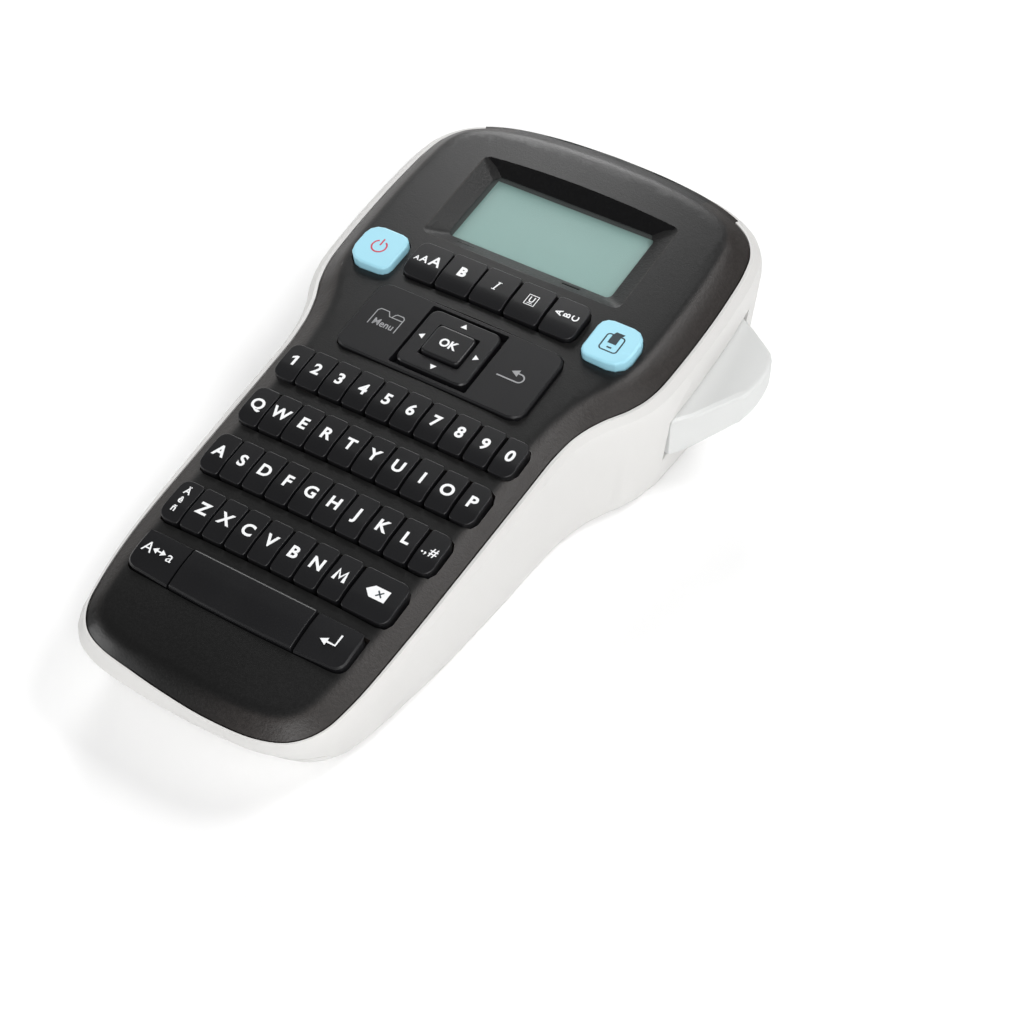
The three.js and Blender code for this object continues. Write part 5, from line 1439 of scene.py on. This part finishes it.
@dataclass
class FormatKeys:
    """The five keys under the display: size, bold, italic, box and vertical."""

    nodes: tuple[str, ...] = ("size_key", "bold_key", "italic_key", "box_key", "vertical_key")
    keys: KeySpan = KeySpan(40.3, 52.6, 27.1, 5)
    mark_share: float = 0.56

    def build(self) -> None:
        """Builds the keys and their legends."""
        for index, node in enumerate(self.nodes):
            settle_key(node + "_cap", self.keys.form(index), node)
            self._mark(node, sum(self.keys.place(index)) / 2.0)

    def _mark(self, node: str, x: float) -> None:
        """Prints one key's legend."""
        marks = Legends(node.replace("_key", "_legend"), node, Finish.WHITE_INK)
        y = self.keys.along(self.mark_share)
        level = FACE.key_top(x)
        if node == "size_key":
            for shift, cap in ((-3.3, 1.5), (-1.1, 2.3), (2.3, 3.3)):
                marks.text("A", x + shift, y - 1.65 + cap / 2.0, cap, 0.02, height=level)
        elif node == "bold_key":
            marks.text("B", x, y, 2.9, 0.05, height=level)
        elif node == "italic_key":
            marks.line([(x - 0.35, y - 1.4), (x + 0.35, y + 1.4)], 0.42, level)
            for end in (-1, 1):
                middle = x + 0.35 * end
                marks.line([(middle - 0.6, y + 1.4 * end), (middle + 0.6, y + 1.4 * end)], 0.2, level)
        elif node == "box_key":
            marks.text("U", x, y + 0.2, 1.9, 0.01, height=level, narrow=0.9)
            marks.line([(x - 0.8, y - 1.15), (x + 0.8, y - 1.15)], 0.24, level)
            box = ((-1.5, -1.75), (1.5, -1.75), (1.5, 1.75), (-1.5, 1.75))
            marks.line(moved(box, x, y), 0.3, level, closed=True)
        else:
            for shift, glyph in ((-2.5, "A"), (0.0, "B"), (2.5, "C")):
                marks.text(glyph, x + shift, y, 1.9, 0.02, turn=90.0, height=level)
        marks.finish_up()


@dataclass
class NavigationPad:
    """The panel with menu and back keys, the four-way ring and the OK button."""

    middle: float = 23.35
    sign_line: float = 23.4
    menu_x: float = -20.3
    back_x: float = 19.4
    panel_stand: float = 0.5
    ring_stand: float = 1.2
    ok_stand: float = 2.2

    def build(self) -> None:
        """Builds the pad."""
        refined("nav_panel", "nav_panel_face", "nav_panel", Finish.PANEL, 0.35, 3)
        refined("nav_ring", "nav_ring_face", "nav_ring", Finish.KEY, 0.5, 3)
        refined("ok_button", "ok_button_face", "ok_button", Finish.KEY, 0.4, 3)
        self._menu()
        self._back()
        self._ring_marks()
        ok_marks = Legends("ok_legend", "ok_button", Finish.WHITE_INK)
        level = FACE.plate(0.0) + self.ok_stand
        ok_marks.text("OK", 0.0, self.middle, 2.5, 0.03, height=level, narrow=0.95)
        ok_marks.finish_up()

    def _menu(self) -> None:
        """The folder sign with its word."""
        marks = Legends("menu_legend", "nav_panel", Finish.GREY_INK)
        x, y, level = self.menu_x, self.sign_line, FACE.plate(0.0) + self.panel_stand
        folder = (
            (-4.2, -2.6), (-4.2, 2.6), (-3.5, 3.4), (-1.0, 3.4), (0.0, 1.9), (0.7, 1.9),
            (1.2, 3.0), (1.7, 3.4), (3.6, 3.4), (4.2, 2.8), (4.2, -2.6),
        )
        marks.line(moved(folder, x, y), 0.3, level)
        marks.line(moved(((0.7, 1.9), (4.2, 1.9)), x, y), 0.3, level)
        marks.text("Menu", x, y - 1.1, 2.2, 0.01, height=level, narrow=0.9)
        marks.finish_up()

    def _back(self) -> None:
        """The hooked arrow that points back."""
        marks = Legends("back_legend", "nav_panel", Finish.GREY_INK)
        x, y, level = self.back_x, self.sign_line, FACE.plate(0.0) + self.panel_stand
        hook = [(x - 3.6, y - 1.5), (x + 2.4, y - 1.5)]
        hook += arc(x + 2.4, y - 0.1, 1.4, -90, 90, 10) + [(x + 1.4, y + 1.3)]
        marks.line(hook, 0.42, level)
        marks.patch(moved(((-0.6, 1.3), (1.5, 2.5), (1.5, 0.1)), x, y), level)
        marks.finish_up()

    def _ring_marks(self) -> None:
        """Four small arrows on the ring."""
        marks = Legends("ring_arrows", "nav_ring", Finish.WHITE_INK)
        level = FACE.plate(0.0) + self.ring_stand
        for turn in range(4):
            angle = math.pi / 2.0 * turn
            reach = 8.6 if turn % 2 == 0 else 7.9
            out = Vector((math.cos(angle), math.sin(angle)))
            side = Vector((-out.y, out.x))
            centre = Vector((0.0, self.middle)) + out * reach
            base = centre - out * 0.65
            corners = [centre + out * 0.85, base + side * 0.95, base - side * 0.95]
            marks.patch([(corner.x, corner.y) for corner in corners], level)
        marks.finish_up()


@dataclass
class ActionButtons:
    """The two pale blue buttons: power on the left, print on the right."""

    centre: float = 37.2
    along: float = 45.2
    stand: float = 0.4

    def build(self) -> None:
        """Builds both buttons and their signs."""
        refined("power_button", "power_button_face", "power_button", Finish.CYAN, 0.4, 4)
        refined("print_button", "print_button_face", "print_button", Finish.CYAN, 0.4, 4)
        level = FACE.key_top(self.centre) + self.stand
        power = Legends("power_sign", "power_button", Finish.RED_INK)
        power.line(arc(-self.centre, self.along, 2.15, 120, 420, 28), 0.5, level)
        power.line([(-self.centre, self.along + 0.4), (-self.centre, self.along + 2.9)], 0.5, level)
        power.finish_up()
        self._print_sign(level)

    def _print_sign(self, level: float) -> None:
        """A small machine with its tape coming out."""
        marks = Legends("print_sign", "print_button", Finish.DARK_INK)
        x, y = self.centre, self.along - 0.3
        outline = (
            arc(x + 1.7, y - 2.2, 0.9, -90, 0, 5) + arc(x + 1.7, y + 1.7, 0.9, 0, 90, 5)
            + arc(x - 1.7, y + 1.7, 0.9, 90, 180, 5) + arc(x - 1.7, y - 2.2, 0.9, 180, 270, 5)
        )
        marks.line(outline, 0.42, level, closed=True)
        marks.line(moved(((-0.7, -1.8), (0.7, -1.8)), x, y), 0.5, level)
        tape = ((-1.3, -0.4), (1.2, -0.4), (1.2, 2.4), (1.8, 3.7), (-0.7, 3.7), (-1.3, 2.4))
        marks.patch(moved(tape, x, y), level)
        marks.finish_up()


# ---- Casing ----


@dataclass
class Casing:
    """Front cover, rear case, doors and the lever."""

    rounder: Rounder = field(default_factory=Rounder)
    grid_pitch: float = 3.0
    grid_half: float = 51.0
    grid_along: tuple[float, float] = (-96.0, 108.0)
    mouth_half: float = 32.2
    mouth_along: tuple[float, float] = (56.0, 91.6)
    mouth_depth: float = 0.8
    mouth_widening: float = 1.05
    mouth_lengthening: float = 1.035
    recess_middle: float = 73.85
    glass_far: float = 87.1
    glass_edge: float = 0.6
    glass_shift: float = 1.2
    narrow: float = 2.0
    narrow_from: float = 56.0
    narrow_run: float = 38.0
    narrow_away: tuple[float, float] = (3.0, 7.0)
    narrow_depth: tuple[float, float] = (0.6, 4.0)
    narrow_across: tuple[float, float] = (-24.0, 16.0)
    lip: float = 2.0
    rim_height: float = 22.0
    tuck_from: float = 58.0
    tuck_run: float = 40.0
    tuck_reach: float = 6.0
    reflection_bar_places: tuple[float, ...] = (-18.5, 15.3)
    reflection_bar_size: tuple[float, float, float] = (5.4, 2.0, 0.24)
    reflection_bar_lean: float = -38.0
    reflection_bar_along: float = 60.2
    reflection_bar_depth: float = 2.6

    def build(self) -> None:
        """Builds the outside of the machine."""
        polish = Polish(self.rounder)
        polish.cover(skin("front_cover", "case", Finish.COVER, self.rounder, self._open_recess, 0.25))
        polish.wall(skin("rear_case", "case", Finish.SHELL, self.rounder, self._tuck, 0.3))
        skin("battery_door", "battery_door", Finish.SHELL, self.rounder, self._tuck, 0.2)
        refined("cassette_door", "cassette_door_skin", "cassette_door", Finish.SHELL, 0.2, 2)
        refined("cutter_lever", "cutter_lever_skin", "lever", Finish.LEVER, 0.7, 4)
        self._dark_reflection_bars()

    def _open_recess(self, work: bmesh.types.BMesh) -> None:
        """Widens the mouth of the display's recess and moves its glass edge back."""
        place, back = FACE.matrix(), FACE.inverse()
        for vertex in work.verts:
            point = back @ vertex.co
            near, far = self.mouth_along
            if abs(point.x) > self.mouth_half or not near < point.y < far:
                continue
            if point.z > FACE.plate(point.x) - self.mouth_depth:
                point.x *= self.mouth_widening
                point.y = self.recess_middle + (point.y - self.recess_middle) * self.mouth_lengthening
            elif point.y > self.glass_far - self.glass_edge:
                point.y += self.glass_shift
            vertex.co = place @ point
        self._draw_in(work)
        grid(work, self.grid_pitch, self.grid_half, *self.grid_along)

    def _draw_in(self, work: bmesh.types.BMesh) -> None:
        """Narrows the parting line round the handle's left end, so that the shell's shoulder shows."""
        place, back = FACE.matrix(), FACE.inverse()
        for vertex in work.verts:
            point = back @ vertex.co
            share = ease(-point.y, self.narrow_from, self.narrow_from + self.narrow_run)
            if share <= 0.0:
                continue
            away, round_share, _ = self.rounder.nearest(point.to_2d())
            depth = FACE.plate(point.x) - self.lip - point.z
            reach = self.narrow * share
            fades = (self.narrow_away, self.narrow_depth, self.narrow_across)
            for value, limits in zip((away, depth, point.x), fades):
                reach *= 1.0 - ease(value, *limits)
            outward = self.rounder.outline.outward(round_share)
            vertex.co = place @ (point - (outward * reach).to_3d())

    def _tuck(self, work: bmesh.types.BMesh) -> None:
        """Draws the underside in below the rim at the handle's end."""
        self._draw_in(work)
        for vertex in work.verts:
            depth = min(1.0, max(0.0, (self.rim_height - vertex.co.z / MM) / self.rim_height))
            share = ease(-vertex.co.y / MM, self.tuck_from, self.tuck_from + self.tuck_run)
            vertex.co.y += self.tuck_reach * share * (1.0 - (1.0 - depth) ** 2) * MM

    def _dark_reflection_bars(self) -> None:
        """Two near-black bars set into the near slope of the recess: painted dark reflection where that slope
        looks dark.
        """
        work = bmesh.new()
        lean = Matrix.Rotation(math.radians(self.reflection_bar_lean), 3, "X")
        for x in self.reflection_bar_places:
            bar = add_bar(work, self.reflection_bar_size, lean)
            bmesh.ops.translate(work, verts=bar, vec=(x, self.reflection_bar_along, FACE.plate(x) - self.reflection_bar_depth))
        bmesh.ops.transform(work, matrix=FACE.matrix(), verts=work.verts)
        settle("painted_reflection_bars", work, "case", Finish.REFLECTION_BAR)


@dataclass
class Display:
    """The display behind its clear window."""

    def build(self) -> None:
        """Gives both their finishes."""
        dress(Finish.DISPLAY, "display_module")
        dress(Finish.WINDOW, "display_window")


@dataclass
class Screws:
    """Cross recesses in the case screws' heads, drawn as dark crosses of painted shade instead of hollows."""

    places: tuple[tuple[float, float], ...] = ((-43.0, 84.0), (-43.0, 34.0), (-34.5, 7.7), (34.5, 7.7))
    slot_length: float = 2.4
    slot_width: float = 0.5
    slot_depth: float = 0.12
    slot_lift: float = 0.03

    def build(self) -> None:
        """Lays a dark cross of painted shade on each head, where its recess would be."""
        for number, (x, y) in enumerate(self.places, start=1):
            node = f"case_screw_{number}"
            dress(Finish.STEEL, node)
            low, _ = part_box(node)
            work = bmesh.new()
            for turn in range(2):
                size = (self.slot_length, self.slot_width, self.slot_depth)
                add_bar(work, size, Matrix.Rotation(math.pi / 2.0 * turn, 3, "Z"))
            bmesh.ops.scale(work, vec=(MM, MM, MM), verts=work.verts)
            bmesh.ops.translate(work, vec=(x * MM, y * MM, low.z + self.slot_lift * MM), verts=work.verts)
            settle(f"screw_recess_shade_{number}", work, "case", Finish.FRAME)


@dataclass
class Inside:
    """Everything that the doors and the slot let one see, and what lies behind it."""

    finishes: dict[Finish, tuple[str, ...]] = field(
        default_factory=lambda: {
            Finish.RUBBER: ("keypad_mat", "nav_cradle", "platen_roller"),
            Finish.BOARD: ("circuit_board",),
            Finish.FRAME: ("mechanism_frame", "power_jack", "head_carrier", "blade_carrier"),
            Finish.NYLON: ("idler_gear", "second_gear", "first_gear", "ribbon_spindle"),
            Finish.BRASS: ("motor_pinion",),
            Finish.STEEL: (
                "drive_motor", "cutter_anvil", "near_contact_strip", "far_contact_strip", "lever_pivot_pin",
                "lever_spring", "cutter_blade", "print_head",
            ),
            Finish.CASSETTE: ("cassette_case",),
            Finish.TAPE: ("tape_spool",),
            Finish.RIBBON: ("ribbon_spool",),
            Finish.STRIP: ("label_strip",),
            Finish.CELL: tuple(f"battery_{number}" for number in range(1, 7)),
        }
    )

    def build(self) -> None:
        """Gives each node inside its finish."""
        for finish, nodes in self.finishes.items():
            dress(finish, *nodes)


# ---- Studio ----


@dataclass(frozen=True)
class SoftLight:
    """One soft box over the table."""

    name: str
    place: tuple[float, float, float]
    target: tuple[float, float, float]
    size: float
    power: float

    def build(self) -> None:
        """Hangs the light."""
        data = bpy.data.lights.new(self.name, "AREA")
        data.shape = "DISK"
        data.size = self.size
        data.energy = self.power
        light = bpy.data.objects.new(self.name, data)
        light.location = self.place
        aim = Vector(self.target) - Vector(self.place)
        light.rotation_euler = aim.to_track_quat("-Z", "Y").to_euler()
        bpy.context.scene.collection.objects.link(light)


@dataclass
class Studio:
    """Floor, light and the camera of the photograph."""

    floor_half: float = 2.5
    floor_colour: Colour = srgb(252, 252, 252)
    world: float = 0.13
    sensor: float = 36.0
    lens: float = 70.3125
    camera_place: tuple[float, float, float] = (0.22582, -0.305361, 0.394407)
    camera_turn: tuple[float, float, float] = (43.82998, 0.04155, 32.37672)
    lights: tuple[SoftLight, ...] = (
        SoftLight("far_box", (-0.46, 0.82, 0.62), (0.0, 0.06, 0.05), 0.5, 5.0),
        SoftLight("near_box", (0.7, -1.0, 1.0), (0.0, 0.0, 0.03), 1.0, 17.0),
        SoftLight("left_box", (-1.2, -0.8, 0.5), (0.0, 0.0, 0.03), 0.8, 6.5),
        SoftLight("right_box", (1.2, -0.1, 0.5), (0.03, 0.0, 0.02), 0.8, 3.4),
        SoftLight("over_box", (0.55, 0.45, 1.0), (0.03, -0.02, 0.03), 0.4, 4.6),
        SoftLight("back_sweep", (-0.5, 1.2, 0.2), (0.0, 0.1, 0.04), 0.9, 0.8),
        SoftLight("left_sweep", (-1.1, 0.7, 0.28), (-0.04, 0.08, 0.04), 0.8, 1.5),
    )

    def build(self) -> None:
        """Sets up everything that isn't the object."""
        self._floor()
        self._world()
        for light in self.lights:
            light.build()
        self._camera()
        bpy.context.scene.view_settings.view_transform = "Standard"

    def _floor(self) -> None:
        """A pale table top under the rest plane."""
        work = bmesh.new()
        bmesh.ops.create_grid(work, x_segments=1, y_segments=1, size=self.floor_half)
        mesh = bpy.data.meshes.new("floor")
        work.to_mesh(mesh)
        work.free()
        floor = bpy.data.objects.new("floor", mesh)
        bpy.context.scene.collection.objects.link(floor)
        sheet = Sheet("floor_pale")
        haze = sheet.noise(sheet.place(), 6.0, 2.0)
        sheet.set(
            Base_Color=sheet.mix(haze, shade(self.floor_colour, 0.995), self.floor_colour),
            Roughness=0.9,
        )
        mesh.materials.append(sheet.material)

    def _world(self) -> None:
        """Even light from all round."""
        world = bpy.data.worlds.new("studio")
        world.use_nodes = True
        background = world.node_tree.nodes["Background"]
        background.inputs["Color"].default_value = (1.0, 1.0, 1.0, 1.0)
        background.inputs["Strength"].default_value = self.world
        bpy.context.scene.world = world

    def _camera(self) -> None:
        """The camera at the photograph's place, turn and lens."""
        data = bpy.data.cameras.new("photo_camera")
        data.lens = self.lens
        data.sensor_width = self.sensor
        data.clip_start = 0.01
        camera = bpy.data.objects.new("photo_camera", data)
        camera.location = self.camera_place
        camera.rotation_euler = [math.radians(angle) for angle in self.camera_turn]
        bpy.context.scene.collection.objects.link(camera)
        bpy.context.scene.camera = camera


def main() -> None:
    """Builds the object's looks and the studio."""
    logging.basicConfig(level=logging.INFO, format="%(message)s")
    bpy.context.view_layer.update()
    for kind in (Casing, Display, Keypad, FormatKeys, NavigationPad, ActionButtons, Screws, Inside):
        assembly = kind()
        assembly.build()
        log.info("dressed %s", type(assembly).__name__)
    Studio().build()


if __name__ == "__main__":
    main()
